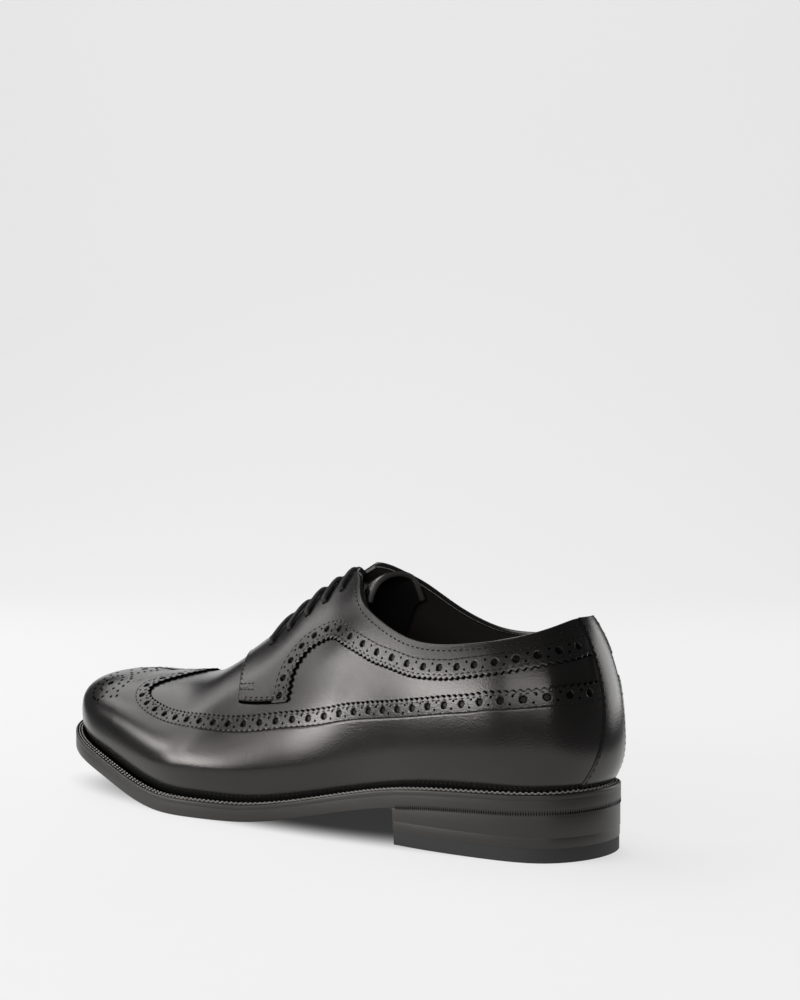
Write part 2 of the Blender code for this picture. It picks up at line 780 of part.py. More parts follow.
def tongue_face(x, drop, full, sink):
    """The last's arch, sunk below the ridge, that opens into a slanted round arch at its
    free end inside the collar, held between the walls."""
    free = ease((TONGUE_FREE_FROM - x) / (TONGUE_FREE_FROM - TONGUE_FREE_AT))
    axis = LAST_AT["axis"](x)
    ridge = LAST_AT["ridge"](x) - drop - sink * TONGUE_SLOPE
    lines = []
    for part in np.linspace(-1, 1, TONGUE_ACROSS + 1):
        side = np.full_like(x, -1.0 if part < 0 else 1.0)
        wide = seam_reach(x, side) + by_side("swell", x, side)
        narrow = (wide - TONGUE_DRAW - sink) / wide
        cosine = np.clip(abs(part) * TONGUE_HALF / (wide * narrow), 0, 1) ** (1 / full)
        share = TUCK_SHARE + (1 - TUCK_SHARE) * np.arccos(cosine) / (np.pi / 2)
        spot = last_point(x, share, side, ridge, full)
        spot[:, 1] = axis + (spot[:, 1] - axis) * narrow
        radius = TONGUE_FREE_RADIUS - sink
        turn = part * TONGUE_FREE_TURN
        arch = np.stack([x, axis + radius * np.sin(turn), ridge - radius * (1 - np.cos(turn))], -1)
        spot += (arch - spot) * free[:, None]
        spot[:, 0] += TONGUE_SLANT * (spot[:, 1] - axis) * free
        room = wall_room(spot[:, 0], spot[:, 2], side) - sink
        held = axis + np.clip(spot[:, 1] - axis, -room, room)
        spot[:, 1] = np.where(free > 0, held, spot[:, 1])
        lines.append(spot)
    return np.stack(lines, axis=1)


def build_tongue():
    """An arched strip under the throat, its top standing inside the collar."""
    x, drop, full = np.array(TONGUE).T
    faces = [tongue_face(x, drop, full, sink) for sink in (0.0, TONGUE_THICK)]
    return grid_solid("tongue", faces[0], faces[1], material("calf_tongue"))


def eyelet_place(index):
    """Station and share of an eyelet, the first nearest the toe."""
    return EYELET_FIRST - EYELET_STEP * index, EYELET_SHARE + EYELET_SHARE_STEP * index


def eyelet_spot(index, side):
    along, share = eyelet_place(index)
    return to_pattern(np.array(along), np.array(share), side)


def cut_eyelets(targets):
    """Punches the lace holes through both facings and the upper."""
    for index in range(EYELETS):
        for side in (1, -1):
            spot = eyelet_spot(index, side)
            middle = on_last(spot)
            axis = outward(spot)
            cross = np.cross(axis, (0.0, 0.0, 1.0))
            cross /= np.linalg.norm(cross)
            other = np.cross(axis, cross)
            angle = np.linspace(0, 2 * np.pi, HOLE_SIDES, endpoint=False)
            ring = np.cos(angle)[:, None] * cross + np.sin(angle)[:, None] * other
            top = middle + axis * CUT_ABOVE + ring * EYELET_RADIUS
            low = middle - axis * CUT_BELOW + ring * EYELET_RADIUS
            ends = np.arange(HOLE_SIDES)
            after = (ends + 1) % HOLE_SIDES
            faces = np.column_stack([ends, after, HOLE_SIDES + after, HOLE_SIDES + ends]).tolist()
            faces += [ends.tolist(), (HOLE_SIDES + ends[::-1]).tolist()]
            name = "eyelet_cutter_%d_%s" % (index + 1, "outer" if side > 0 else "inner")
            cutter = add_object(name, np.concatenate([top, low]), faces, None, False)
            cutter.hide_render = True
            cutter.display_type = "WIRE"
            for target in targets[side]:
                hole = target.modifiers.new(name, "BOOLEAN")
                hole.operation = "DIFFERENCE"
                hole.solver = "EXACT"
                hole.object = cutter


def tube(name, path, radius, surface, sides):
    """A round cord along a path."""
    ahead = np.gradient(path, axis=0)
    ahead /= np.linalg.norm(ahead, axis=1, keepdims=True)
    flat = np.array([1.0, 0.0, 0.0]) - ahead * ahead[:, :1]
    flat /= np.linalg.norm(flat, axis=1, keepdims=True)
    other = np.cross(ahead, flat)
    angle = np.linspace(0, 2 * np.pi, sides, endpoint=False)
    rings = path[:, None] + radius * (np.cos(angle)[None, :, None] * flat[:, None]
                                      + np.sin(angle)[None, :, None] * other[:, None])
    count = len(path)
    faces = []
    for i in range(count - 1):
        for k in range(sides):
            n = (k + 1) % sides
            faces.append((i * sides + k, i * sides + n, (i + 1) * sides + n, (i + 1) * sides + k))
    faces.append(tuple(range(sides)))
    faces.append(tuple((count - 1) * sides + k for k in reversed(range(sides))))
    return add_object(name, rings.reshape(-1, 3), faces, surface, True)


def build_laces():
    """Straight bars from eyelet to eyelet, standing proud of the throat."""
    part, height = np.array(LACE_BAR).T
    for index in range(EYELETS):
        station_x, first = eyelet_place(index)
        along = np.full(len(part), station_x)
        share = first + (1 - first) * part
        outer = off_last(to_pattern(along, share, 1), height)
        inner = off_last(to_pattern(along, share, -1), height)
        path = np.concatenate([outer, inner[-2::-1]])
        tube("lace_bar_%d" % (index + 1), path, LACE_RADIUS, material("lace_cord"), LACE_SIDES)


def build():
    for old in list(bpy.data.objects):
        bpy.data.objects.remove(old)
    build_outsole()
    build_heel()
    build_welt()
    build_insole()
    upper = build_upper()
    outer_facing, inner_facing = build_facings()
    build_wing()
    build_backstay()
    build_tongue()
    build_laces()
    cut_eyelets({1: (upper, outer_facing), -1: (upper, inner_facing)})


build()
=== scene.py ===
"""Looks of a black full brogue derby for the left foot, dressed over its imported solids.

Lengths in the tables are millimetres: x runs from the back of the heel to the toe, y to
the wearer's left, which is the outer side, and z up from the ground.  Finished meshes are
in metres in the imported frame.  The leather follows one surface, the last.  A spot on it is
given by p along the shoe and q out from the ridge on a flat pattern that turns like a fan
round the heel and toe centres.
"""
import math

import bmesh
import bpy
import numpy as np
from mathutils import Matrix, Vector


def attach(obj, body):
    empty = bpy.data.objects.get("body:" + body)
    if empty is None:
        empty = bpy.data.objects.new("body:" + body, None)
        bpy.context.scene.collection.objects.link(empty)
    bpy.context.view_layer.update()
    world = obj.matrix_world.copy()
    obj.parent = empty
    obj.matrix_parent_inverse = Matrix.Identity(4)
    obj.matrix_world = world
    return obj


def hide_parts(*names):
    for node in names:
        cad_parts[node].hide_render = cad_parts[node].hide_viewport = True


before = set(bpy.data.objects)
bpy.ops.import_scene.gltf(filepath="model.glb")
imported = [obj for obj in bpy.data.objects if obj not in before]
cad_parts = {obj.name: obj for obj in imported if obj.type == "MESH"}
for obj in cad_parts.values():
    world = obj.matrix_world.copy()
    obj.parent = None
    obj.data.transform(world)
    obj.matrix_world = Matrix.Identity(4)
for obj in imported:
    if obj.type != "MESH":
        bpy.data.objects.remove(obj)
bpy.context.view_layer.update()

bl_info = {
    "name": "Full brogue derby",
    "version": (1, 0, 0),
    "blender": (4, 5, 0),
    "location": "View3D > Sidebar > Derby",
    "description": "Dresses the solids of a full brogue derby in leather, thread and lace",
    "category": "Mesh",
}

MM = 0.001

# middle of the solids' box in the tables' millimetres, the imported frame's origin
BASE_MIDDLE = np.array([152.92, 0.22, 0.0])

# sole: length, thickness of outsole and welt, gap between layers, and all three together
SHOE_LENGTH = 308.0
OUTSOLE = 5.3
WELT = 1.95
SEAT_GAP = 0.25
SOLE = OUTSOLE + WELT + SEAT_GAP

# pattern: centres of the fans at heel and toe, length of each fan's quarter turn, girth from
# the ridge down to the seam, share and first angle of the tuck over the seam
HEEL_X = 36.0
TOE_X = 250.0
HEEL_TURN = 53.4
TOE_TURN = 66.0
BACK = HEEL_X - HEEL_TURN
TIP = TOE_X + TOE_TURN
GIRTH = 60.0
TUCK_SHARE = 0.22
TUCK_START = np.radians(20.0)

# upper: thickness of its wall, depth of its face below the last, underside of the leather
# laid over it
WALL = 2.0
BASE_DEPTH = 1.15
UNDER_OVERLAY = -1.25

# backstay: how far it stands out, how far its neighbours lap under it, extra width inwards
BACKSTAY_PROUD = 0.4
STAY_LAP = 1.0
STAY_WIDER = 6.0

# throat: half its width, its front, the collar's corner on each side, and the stretch over
# which the inner side's lines are drawn back
THROAT_HALF = 2.5
THROAT_FRONT = 199.0
CORNER_OUTER = 127.5
CORNER_INNER = 122.5
KNEE_FROM = 100.0
KNEE_TO = 150.0

# wing's peak: how far it leans outwards, over what half width, from where and how soon
PEAK_LEAN = 2.5
PEAK_LEAN_HALF = 25.0
PEAK_LEAN_FROM = 205.0
PEAK_LEAN_RUN = 15.0

# tongue: thickness and its rise on the slope, how far it is drawn in, half width, then the
# round arch of its free end, the room it keeps from the walls and how soon it is held there
TONGUE_THICK = 2.0
TONGUE_SLOPE = 1.2
TONGUE_DRAW = 6.0
TONGUE_HALF = 15.0
TONGUE_FREE_RADIUS = 14.0
TONGUE_FREE_TURN = np.radians(86.0)
TONGUE_FREE_FROM = 126.0
TONGUE_FREE_AT = 108.0
TONGUE_SLANT = 0.33
TONGUE_ROOM = 1.5
TONGUE_HELD = 6.0

# heel: place of its breast, thickness of top piece and lift, taper a millimetre of height
HEEL_BREAST = 79.5
TOP_PIECE = 5.7
LIFT = 3.8
HEEL_TAPER = 0.0012

# eyelets: how many, first one's station and the step to the next, its share of the wall and
# the step in that, radius
EYELETS = 5
EYELET_FIRST = 167.7
EYELET_STEP = 9.05
EYELET_SHARE = 0.742
EYELET_SHARE_STEP = 0.0165
EYELET_RADIUS = 2.0

# punched hole: lip outside its radius, width of its cut wall, painted shade of floor and wall
HOLE_LIP = 0.12
HOLE_WALL = 0.3
HOLE_FLOOR_PAINTED_SHADE = 0.8
HOLE_WALL_PAINTED_SHADE = 2.0

# band: drop of its first two lines and of its last, painted shade of the last, and the
# distance in which its teeth die away
PINKED_BEVEL = (0.22, 0.05)
INNER_BEVEL = 0.06
INNER_EDGE_PAINTED_SHADE = 0.6
TOOTH_ROOT = 1.9

# sewing: length and height of a stitch of the upper, rise of the dark slot of painted shade
# under a stitch and how far it is drawn out, fineness of the thread's twist
STITCH_LENGTH = 1.5
STITCH_HEIGHT = 0.14
SLOT_RISE = 0.03
SLOT_DRAWN = 2.4
THREAD_TWIST = 900.0

# edges bent by more degrees than these are shaded sharp: leather, dots, round cords
SHARP = 48.0
SHARP_DOT = 30.0
SHARP_ROUND = 80.0

# sampling: farthest reach and halvings for it, stations measured, spots along a curve,
# distance under which two points are one, shortest length that is divided by
FARTHEST = 120.0
HALVINGS = 36
REACH_COUNT = 4001
CURVE_COUNT = 3000
MERGED = 2e-7
SHORTEST = 1e-9

# x, outer edge y, inner edge y
SOLE_EDGE = (
    (0, 0.0, 0.0),
    (10, 25.6, -25.6),
    (36, 34.3, -34.3),
    (76, 36.2, -33.0),
    (112, 34.6, -28.5),
    (150, 41.4, -32.0),
    (190, 50.0, -45.5),
    (225, 47.6, -49.8),
    (250, 42.4, -46.0),
    (275, 35.4, -37.6),
    (293, 24.6, -26.4),
    (308, -3.2, -3.2),
)

# x, height of the outsole's underside
SOLE_UNDERSIDE = (
    (0, 19.7),
    (40, 18.0),
    (78.3, 15.0),
    (125, 5.8),
    (145, 2.0),
    (160, 0.3),
    (172, 0.0),
    (192, 0.0),
    (205, 0.4),
    (222, 2.7),
    (250, 9.4),
    (280, 16.4),
    (308, 22.4),
)

# along, inset outer and inner, swell outer and inner, widest height outer and inner,
# axis y, ridge height, fullness outer and inner
LAST_COLUMNS = (
    "along", "inset_o", "inset_i", "swell_o", "swell_i", "wide_o", "wide_i",
    "axis", "ridge", "full_o", "full_i",
)
LAST = (
    (BACK, 3.8, 3.8, 5.6, 5.6, 20.0, 20.0, 0.0, 109.5, 1.00, 1.00),
    (10.0, 4.2, 4.2, 6.0, 6.0, 20.0, 20.0, 0.0, 110.0, 1.00, 1.00),
    (36.0, 5.0, 5.0, 6.0, 6.0, 20.0, 20.0, 0.0, 112.0, 1.00, 1.00),
    (78.0, 5.5, 5.5, 4.5, 4.5, 18.0, 20.0, -0.3, 117.0, 1.05, 1.05),
    (112.0, 5.5, 4.0, 4.5, 3.0, 16.0, 20.0, -0.6, 117.5, 1.20, 1.20),
    (130.0, 5.8, 4.5, 4.8, 3.5, 15.0, 19.0, -0.8, 109.5, 1.35, 1.30),
    (150.0, 6.0, 5.0, 5.0, 4.0, 15.0, 18.0, -1.2, 99.2, 1.40, 1.35),
    (170.0, 6.2, 5.5, 4.8, 4.0, 14.5, 17.0, -1.7, 85.6, 1.40, 1.35),
    (190.0, 6.5, 6.0, 4.5, 4.0, 14.0, 15.0, -2.3, 72.5, 1.30, 1.25),
    (208.0, 6.5, 6.0, 4.0, 4.0, 13.0, 14.0, -2.8, 62.5, 1.15, 1.15),
    (228.0, 6.5, 6.0, 3.5, 3.5, 12.0, 13.0, -3.3, 58.2, 1.00, 1.00),
    (250.0, 6.2, 6.2, 3.0, 3.0, 11.0, 11.0, -3.3, 56.4, 0.88, 0.88),
    (TIP, 6.0, 6.0, 3.0, 3.0, 10.0, 10.0, -3.0, 56.4, 0.74, 0.74),
)

# along, share of the wall height at the collar: outer side
COLLAR_OUTER = (
    (BACK, 0.640),
    (-1.0, 0.616),
    (19.0, 0.565),
    (39.0, 0.527),
    (59.0, 0.510),
    (72.0, 0.517),
    (84.0, 0.541),
    (96.0, 0.582),
    (104.0, 0.620),
    (112.0, 0.680),
    (119.0, 0.772),
    (127.5, 0.900),
)

# along, share of the wall height at the collar: inner side
COLLAR_INNER = (
    (BACK, 0.640),
    (-1.0, 0.618),
    (19.0, 0.570),
    (39.0, 0.535),
    (59.0, 0.519),
    (72.0, 0.533),
    (81.0, 0.562),
    (90.0, 0.606),
    (98.0, 0.662),
    (105.0, 0.720),
    (113.0, 0.795),
    (118.0, 0.862),
    (122.5, 0.930),
)

# facing, plain bottom of its tab: along and share, along on the throat above
TAB = (
    (170.5, 0.519, 196.5),
    (167.0, 0.510, 192.5),
    (162.0, 0.498, 187.5),
    (156.0, 0.486, 180.0),
    (149.0, 0.474, 172.0),
    (142.9, 0.467, 163.0),
)

# facing, pinked lower edge: along and share, along on the throat or collar above
FACING = (
    (142.9, 0.467, 163.0),
    (143.3, 0.506, 159.0),
    (143.8, 0.552, 155.0),
    (141.9, 0.590, 150.0),
    (137.6, 0.615, 142.0),
    (132.8, 0.619, 135.0),
    (126.6, 0.611, 127.5),
    (118.5, 0.569, 120.5),
    (110.9, 0.527, 113.0),
    (104.0, 0.496, 105.5),
    (97.0, 0.469, 98.0),
    (84.7, 0.439, 86.0),
    (72.3, 0.414, 73.0),
    (60.8, 0.406, 61.0),
    (50.8, 0.406, 51.0),
    (40.8, 0.416, 41.0),
    (31.7, 0.428, 32.0),
    (25.0, 0.439, 25.0),
    (18.0, 0.452, 18.0),
    (10.3, 0.467, 10.3),
    (3.0, 0.480, 3.0),
    (-4.5, 0.490, -4.5),
    (-12.0, 0.498, -12.0),
)

# wing: along and share on its pinked edge, along at the sole seam below and at the
# shoe's opening above
WING = (
    (-12.0, 0.402, -12.0, -12.0),
    (-4.5, 0.401, -4.5, -4.5),
    (3.0, 0.400, 3.0, 3.0),
    (10.3, 0.395, 10.3, 10.3),
    (18.0, 0.387, 18.0, 18.0),
    (26.5, 0.378, 26.5, 26.5),
    (38.0, 0.366, 38.0, 37.5),
    (50.0, 0.357, 50.0, 48.5),
    (63.0, 0.351, 63.0, 60.0),
    (77.0, 0.349, 77.0, 72.0),
    (98.0, 0.362, 98.5, 90.0),
    (117.0, 0.393, 118.0, 107.5),
    (135.2, 0.429, 137.0, CORNER_OUTER),
    (154.0, 0.450, 157.0, 142.0),
    (173.0, 0.475, 179.0, 155.5),
    (191.0, 0.505, 200.0, 167.0),
    (208.0, 0.540, 219.0, 176.5),
    (221.2, 0.568, 235.0, 182.0),
    (230.6, 0.601, 249.0, 186.0),
    (234.9, 0.631, 258.0, 188.0),
    (237.6, 0.668, 266.0, 189.7),
    (238.7, 0.710, 274.0, 191.2),
    (238.0, 0.753, 282.0, 192.6),
    (236.1, 0.797, 289.0, 194.0),
    (233.5, 0.844, 296.0, 195.3),
    (230.4, 0.897, 302.5, 196.6),
    (228.3, 0.950, 309.0, 197.8),
    (226.0, 1.000, TIP, THROAT_FRONT),
)

# backstay: share of the wall height, outer and inner edge measured round the back
BACKSTAY = (
    (0.00, 11.0, -18.0),
    (0.06, 10.0, -17.0),
    (0.12, 7.5, -14.5),
    (0.18, 5.0, -12.0),
    (0.24, 3.2, -10.2),
    (0.32, 2.0, -9.0),
    (0.40, 1.9, -8.9),
    (0.48, 2.0, -9.0),
    (0.56, 2.4, -9.4),
    (0.64, 3.0, -10.0),
)

# tongue: x, drop below the last's ridge, fullness of its arch
TONGUE = (
    (107.5, 9.6, 1.02),
    (112.0, 9.8, 1.10),
    (116.0, 9.8, 1.18),
    (120.0, 9.4, 1.22),
    (126.0, 8.2, 1.30),
    (136.0, 6.3, 1.36),
    (150.0, 6.0, 1.40),
    (170.0, 5.9, 1.40),
    (190.0, 5.6, 1.30),
    (207.0, 4.9, 1.15),
)

# lace bar: part of the way from an eyelet to the ridge, height off the last
LACE_BAR = (
    (-0.06, -4.6),
    (-0.02, -2.6),
    (0.00, -0.8),
    (0.01, 0.5),
    (0.10, 1.10),
    (0.36, 1.05),
    (0.64, 0.95),
    (0.82, 0.45),
    (1.00, -0.10),
)

# large holes of a facing: distance along the middle of its band
FACING_HOLES = (
    3.2, 11.1, 19.5, 27.5, 35.2, 42.8, 51.8, 61.4, 71.2, 81.6, 91.4,
    101.0, 110.6, 119.3, 128.3, 136.7, 145.7, 154.2, 162.1, 170.3, 179.0,
)

# bar tack at the tab's front: p, q at both ends of its upper and its lower row
BAR_TACK = (
    (174.6, 24.2, 165.0, 25.7),
    (173.0, 25.8, 163.5, 27.2),
)

# toe medallion, outer half: p, q, radius of its large holes
MEDALLION_HOLES = (
    (257.1, 0.0, 1.50),
    (263.2, 16.1, 1.50),
    (253.3, 0.0, 0.80),
)

# toe medallion, outer half: p, q of its small holes, and their radius
MEDALLION_PINS = (
    (266.7, 13.0), (265.0, 10.3), (263.4, 8.8), (261.4, 8.9), (260.1, 10.9),
    (259.2, 13.7), (258.6, 17.0), (259.5, 20.8), (262.0, 23.2), (265.8, 21.4),
    (267.3, 19.7), (267.6, 16.6), (270.6, 25.3), (271.3, 22.4), (271.6, 18.8),
    (270.9, 15.1), (269.1, 11.0), (267.4, 7.4), (265.6, 4.9), (261.0, 2.0),
    (259.3, 5.2), (258.1, 7.6), (256.9, 10.3), (255.9, 12.4), (255.3, 15.4),
    (255.4, 18.7), (256.0, 22.3), (254.4, 25.3), (257.8, 26.2), (263.4, 26.2),
    (266.1, 27.8), (268.9, 26.9), (256.9, 5.3), (255.6, 3.4), (254.4, 1.6),
)
MEDALLION_PIN = 0.72

# soft troughs of wear: p, q, half length along q, half width along p, depth
CREASES = (
    (196.0, 40.0, 9.0, 5.0, 0.22),
    (196.0, -38.0, 9.0, 4.5, 0.30),
    (118.0, 34.0, 7.0, 6.0, 0.20),
    (60.0, 20.0, 6.0, 9.0, 0.25),
    (60.0, -20.0, 6.0, 9.0, 0.25),
)

# tint of the wax's reflections
WARM = (1.0, 0.955, 0.92, 1.0)

# floor, metres: near end, start and radius of its bend, top of the backdrop, half width
FLOOR_NEAR = -0.4
BEND_AT = 1.4
BEND_RADIUS = 1.0
BACKDROP_TOP = 1.6
FLOOR_HALF = 0.8

# floor's dark sides: camera's distance and its step to the side, share of the distance at
# which the paper starts and ends falling dark, and its tone there
CAMERA_AWAY = 0.83
CAMERA_ASIDE = 0.035
DARK_BESIDE = (0.24, 0.36)
BESIDE_TONE = 0.12

# floor's painted shadow under the shoe: half length, half width, start and end of its edge, tone
SHADE_LENGTH = 0.162
SHADE_WIDTH = 0.05
SHADE_EDGE = (0.2, 1.1)
SHADE_TONE = 0.05

# softboxes: name, azimuth and elevation in degrees, distance, width and height in metres,
# power in watts
SOFTBOXES = (
    ("left_softbox", 53.0, 9.5, 1.5, 0.75, 0.24, 6.6),
    ("left_high_softbox", 47.0, 20.0, 1.5, 0.9, 0.36, 2.4),
    ("facing_softbox", 30.0, 15.5, 1.5, 0.3, 0.2, 1.4),
    ("tab_softbox", 25.0, 30.5, 1.5, 0.85, 0.26, 1.6),
    ("toe_softbox", -10.0, 50.0, 1.6, 1.2, 1.2, 9.0),
    ("camera_softbox", 113.0, 18.5, 1.6, 2.1, 0.4, 10.0),
    ("back_softbox", -110.0, 8.0, 1.5, 0.8, 0.8, 5.5),
)


class DerbySizes(bpy.types.PropertyGroup):
    """Sizes of the shoe's sewn and punched work."""

    tooth_pitch: bpy.props.FloatProperty(
        name="Tooth pitch", description="Length of one tooth of a pinked edge",
        default=0.0029, unit="LENGTH")
    tooth_depth: bpy.props.FloatProperty(
        name="Tooth depth", description="How far a tooth stands out of its edge",
        default=0.0014, unit="LENGTH")
    hole_pitch: bpy.props.FloatProperty(
        name="Hole pitch", description="Distance between the large punched holes",
        default=0.00866, unit="LENGTH")
    hole_radius: bpy.props.FloatProperty(
        name="Hole radius", description="Radius of a large punched hole",
        default=0.00145, unit="LENGTH")
    pin_radius: bpy.props.FloatProperty(
        name="Pin radius", description="Radius of a small hole between two large ones",
        default=0.00055, unit="LENGTH")
    hole_depth: bpy.props.FloatProperty(
        name="Hole depth", description="Depth of the punched holes",
        default=0.0009, unit="LENGTH")
    stitch_pitch: bpy.props.FloatProperty(
        name="Stitch pitch", description="Distance between the stitches of the upper",
        default=0.0029, unit="LENGTH")
    stitch_width: bpy.props.FloatProperty(
        name="Stitch width", description="Width of the thread of the upper",
        default=0.0005, unit="LENGTH")
    welt_pitch: bpy.props.FloatProperty(
        name="Welt stitch pitch", description="Distance between the stitches of the welt",
        default=0.0024, unit="LENGTH")
    wheel_pitch: bpy.props.FloatProperty(
        name="Wheel mark pitch", description="Distance between the marks over the heel",
        default=0.00105, unit="LENGTH")
    lace_radius: bpy.props.FloatProperty(
        name="Lace radius", description="Radius of the waxed lace",
        default=0.00108, unit="LENGTH")


class DerbyFinish(bpy.types.PropertyGroup):
    """Colours and gloss of the shoe's materials."""

    leather: bpy.props.FloatVectorProperty(
        name="Leather", description="Colour of the polished calf", subtype="COLOR",
        size=4, default=(0.0105, 0.0099, 0.0096, 1.0))
    leather_roughness: bpy.props.FloatProperty(
        name="Leather roughness", description="Roughness of the polished calf", default=0.2,
        subtype="FACTOR")
    lining: bpy.props.FloatVectorProperty(
        name="Lining", description="Colour of the lining", subtype="COLOR",
        size=4, default=(0.012, 0.0095, 0.009, 1.0))
    sole_edge: bpy.props.FloatVectorProperty(
        name="Sole edge", description="Colour of the stained sole and heel edge",
        subtype="COLOR", size=4, default=(0.0145, 0.0138, 0.0132, 1.0))
    rubber: bpy.props.FloatVectorProperty(
        name="Rubber", description="Colour of the heel's top piece", subtype="COLOR",
        size=4, default=(0.019, 0.0183, 0.0178, 1.0))
    thread: bpy.props.FloatVectorProperty(
        name="Thread", description="Colour of the sewing thread", subtype="COLOR",
        size=4, default=(0.006, 0.0058, 0.0056, 1.0))
    welt_thread: bpy.props.FloatVectorProperty(
        name="Welt thread", description="Colour of the heavy thread on the welt",
        subtype="COLOR", size=4, default=(0.42, 0.40, 0.38, 1.0))
    rim: bpy.props.FloatVectorProperty(
        name="Rim", description="Colour of the tongue's bound rim", subtype="COLOR",
        size=4, default=(0.045, 0.043, 0.042, 1.0))
    lace: bpy.props.FloatVectorProperty(
        name="Lace", description="Colour of the waxed lace", subtype="COLOR",
        size=4, default=(0.020, 0.0193, 0.0188, 1.0))


class DerbyStage(bpy.types.PropertyGroup):
    """Floor, light and camera."""

    floor: bpy.props.FloatVectorProperty(
        name="Floor", description="Colour of the studio floor", subtype="COLOR",
        size=4, default=(0.3, 0.3, 0.3, 1.0))
    floor_glow: bpy.props.FloatProperty(
        name="Floor glow", description="Light the floor gives off itself", default=2.4)
    sky: bpy.props.FloatProperty(
        name="Room light", description="Strength of the even light of the room", default=0.06)
    light: bpy.props.FloatProperty(
        name="Light", description="Factor on the power of all the softboxes", default=1.0)
    camera_place: bpy.props.FloatVectorProperty(
        name="Camera place", description="Where the camera stands", subtype="TRANSLATION",
        unit="LENGTH", default=(-0.57002, 0.60358, 0.152))
    camera_turn: bpy.props.FloatProperty(
        name="Camera turn", description="How far the view is turned from the shoe's side",
        subtype="ANGLE", default=math.radians(40.9))
    camera_tilt: bpy.props.FloatProperty(
        name="Camera tilt", description="How far the camera looks down", subtype="ANGLE",
        default=math.radians(0.9))
    lens: bpy.props.FloatProperty(
        name="Lens", description="Focal length over a 36 mm long side", unit="CAMERA",
        default=66.96)


def spline(knots, values, start=None, end=None):
    """A cubic through the knots with even second derivatives; end slopes free or given."""
    x = np.asarray(knots, float)
    y = np.asarray(values, float)
    count = len(x)
    step = np.diff(x)
    rise = np.diff(y) / step
    matrix = np.zeros((count, count))
    right = np.zeros(count)
    for i in range(1, count - 1):
        matrix[i, i - 1:i + 2] = step[i - 1], 2 * (step[i - 1] + step[i]), step[i]
        right[i] = 6 * (rise[i] - rise[i - 1])
    matrix[0, 0] = 1.0
    matrix[-1, -1] = 1.0
    if start is not None:
        matrix[0, :2] = 2 * step[0], step[0]
        right[0] = 6 * (rise[0] - start)
    if end is not None:
        matrix[-1, -2:] = step[-1], 2 * step[-1]
        right[-1] = 6 * (end - rise[-1])
    bend = np.linalg.solve(matrix, right)

    def value(at):
        at = np.clip(np.asarray(at, float), x[0], x[-1])
        i = np.clip(np.searchsorted(x, at, side="right") - 1, 0, count - 2)
        after = at - x[i]
        before = x[i + 1] - at
        span = step[i]
        cubic = (bend[i] * before ** 3 + bend[i + 1] * after ** 3) / (6 * span)
        near = (y[i] / span - bend[i] * span / 6) * before
        far = (y[i + 1] / span - bend[i + 1] * span / 6) * after
        return cubic + near + far

    return value


def column(table, index, start=None, end=None):
    """One column of a table as a smooth function of its first column."""
    return spline([row[0] for row in table], [row[index] for row in table], start, end)


def ease(part):
    """3 t squared minus 2 t cubed between 0 and 1."""
    part = np.clip(part, 0, 1)
    return part * part * (3 - 2 * part)


def edge_turn(x):
    """Angle whose cosine falls from 1 at the heel to -1 at the toe."""
    return np.arccos(np.clip(1 - 2 * np.asarray(x, float) / SHOE_LENGTH, -1, 1))


EDGE_STOPS = [edge_turn(row[0]) for row in SOLE_EDGE]
EDGE_OUTER = spline(EDGE_STOPS, [row[1] for row in SOLE_EDGE])
EDGE_INNER = spline(EDGE_STOPS, [row[2] for row in SOLE_EDGE])
UNDERSIDE = column(SOLE_UNDERSIDE, 1)
LAST_AT = {}
for place, title in enumerate(LAST_COLUMNS[1:], start=1):
    LAST_AT[title] = column(LAST, place, 0.0, 0.0)
COLLAR_AT = {1: column(COLLAR_OUTER, 1, 0.0), -1: column(COLLAR_INNER, 1, 0.0)}
STAY_OUTER = column(BACKSTAY, 1)
STAY_INNER = column(BACKSTAY, 2)


def underside(x):
    """Height of the outsole's underside, flat on the ground under the ball."""
    return np.maximum(UNDERSIDE(x), 0.0)


def sole_top(x):
    """Height of the welt's upper face."""
    return underside(x) + SOLE


def fan_angle(along):
    """Angle of a station's plane: pi at the back, a right angle along the side, 0 at the toe."""
    heel = np.clip((along - BACK) / HEEL_TURN, 0, 1)
    toe = np.clip((TIP - along) / TOE_TURN, 0, 1)
    return np.where(along < HEEL_X, np.pi - np.pi / 2 * heel, np.pi / 2 * toe)


def station(along, side):
    """Centre and outward direction of the upright plane at a station."""
    angle = fan_angle(along)
    centre_x = np.clip(along, HEEL_X, TOE_X)
    return centre_x, LAST_AT["axis"](centre_x), np.cos(angle), side * np.sin(angle)


def measured_reach(along, side):
    """Distance from a station's centre out to the sole's edge, found by halving."""
    centre_x, centre_y, out_x, out_y = station(along, side)
    near = np.zeros_like(centre_x)
    far = np.full_like(centre_x, FARTHEST)
    for _ in range(HALVINGS):
        middle = (near + far) / 2
        x = centre_x + out_x * middle
        y = centre_y + out_y * middle
        turn = edge_turn(x)
        inside = (x > 0) & (x < SHOE_LENGTH) & (y < EDGE_OUTER(turn)) & (y > EDGE_INNER(turn))
        near = np.where(inside, middle, near)
        far = np.where(inside, far, middle)
    return near


REACH_STOPS = np.linspace(BACK, TIP, REACH_COUNT)
REACH_OUTER = measured_reach(REACH_STOPS, 1.0)
REACH_INNER = measured_reach(REACH_STOPS, -1.0)


def reach(along, side):
    """The measured distance read off between stations."""
    outer = np.interp(along, REACH_STOPS, REACH_OUTER)
    inner = np.interp(along, REACH_STOPS, REACH_INNER)
    return np.where(np.asarray(side) > 0, outer, inner)


def by_side(title, along, side):
    """A column of the last that differs between the outer and inner side."""
    return np.where(np.asarray(side) > 0, LAST_AT[title + "_o"](along), LAST_AT[title + "_i"](along))


def seam_reach(along, side):
    """Distance from a station's centre out to the seam where leather meets welt."""
    return reach(along, side) - by_side("inset", along, side)


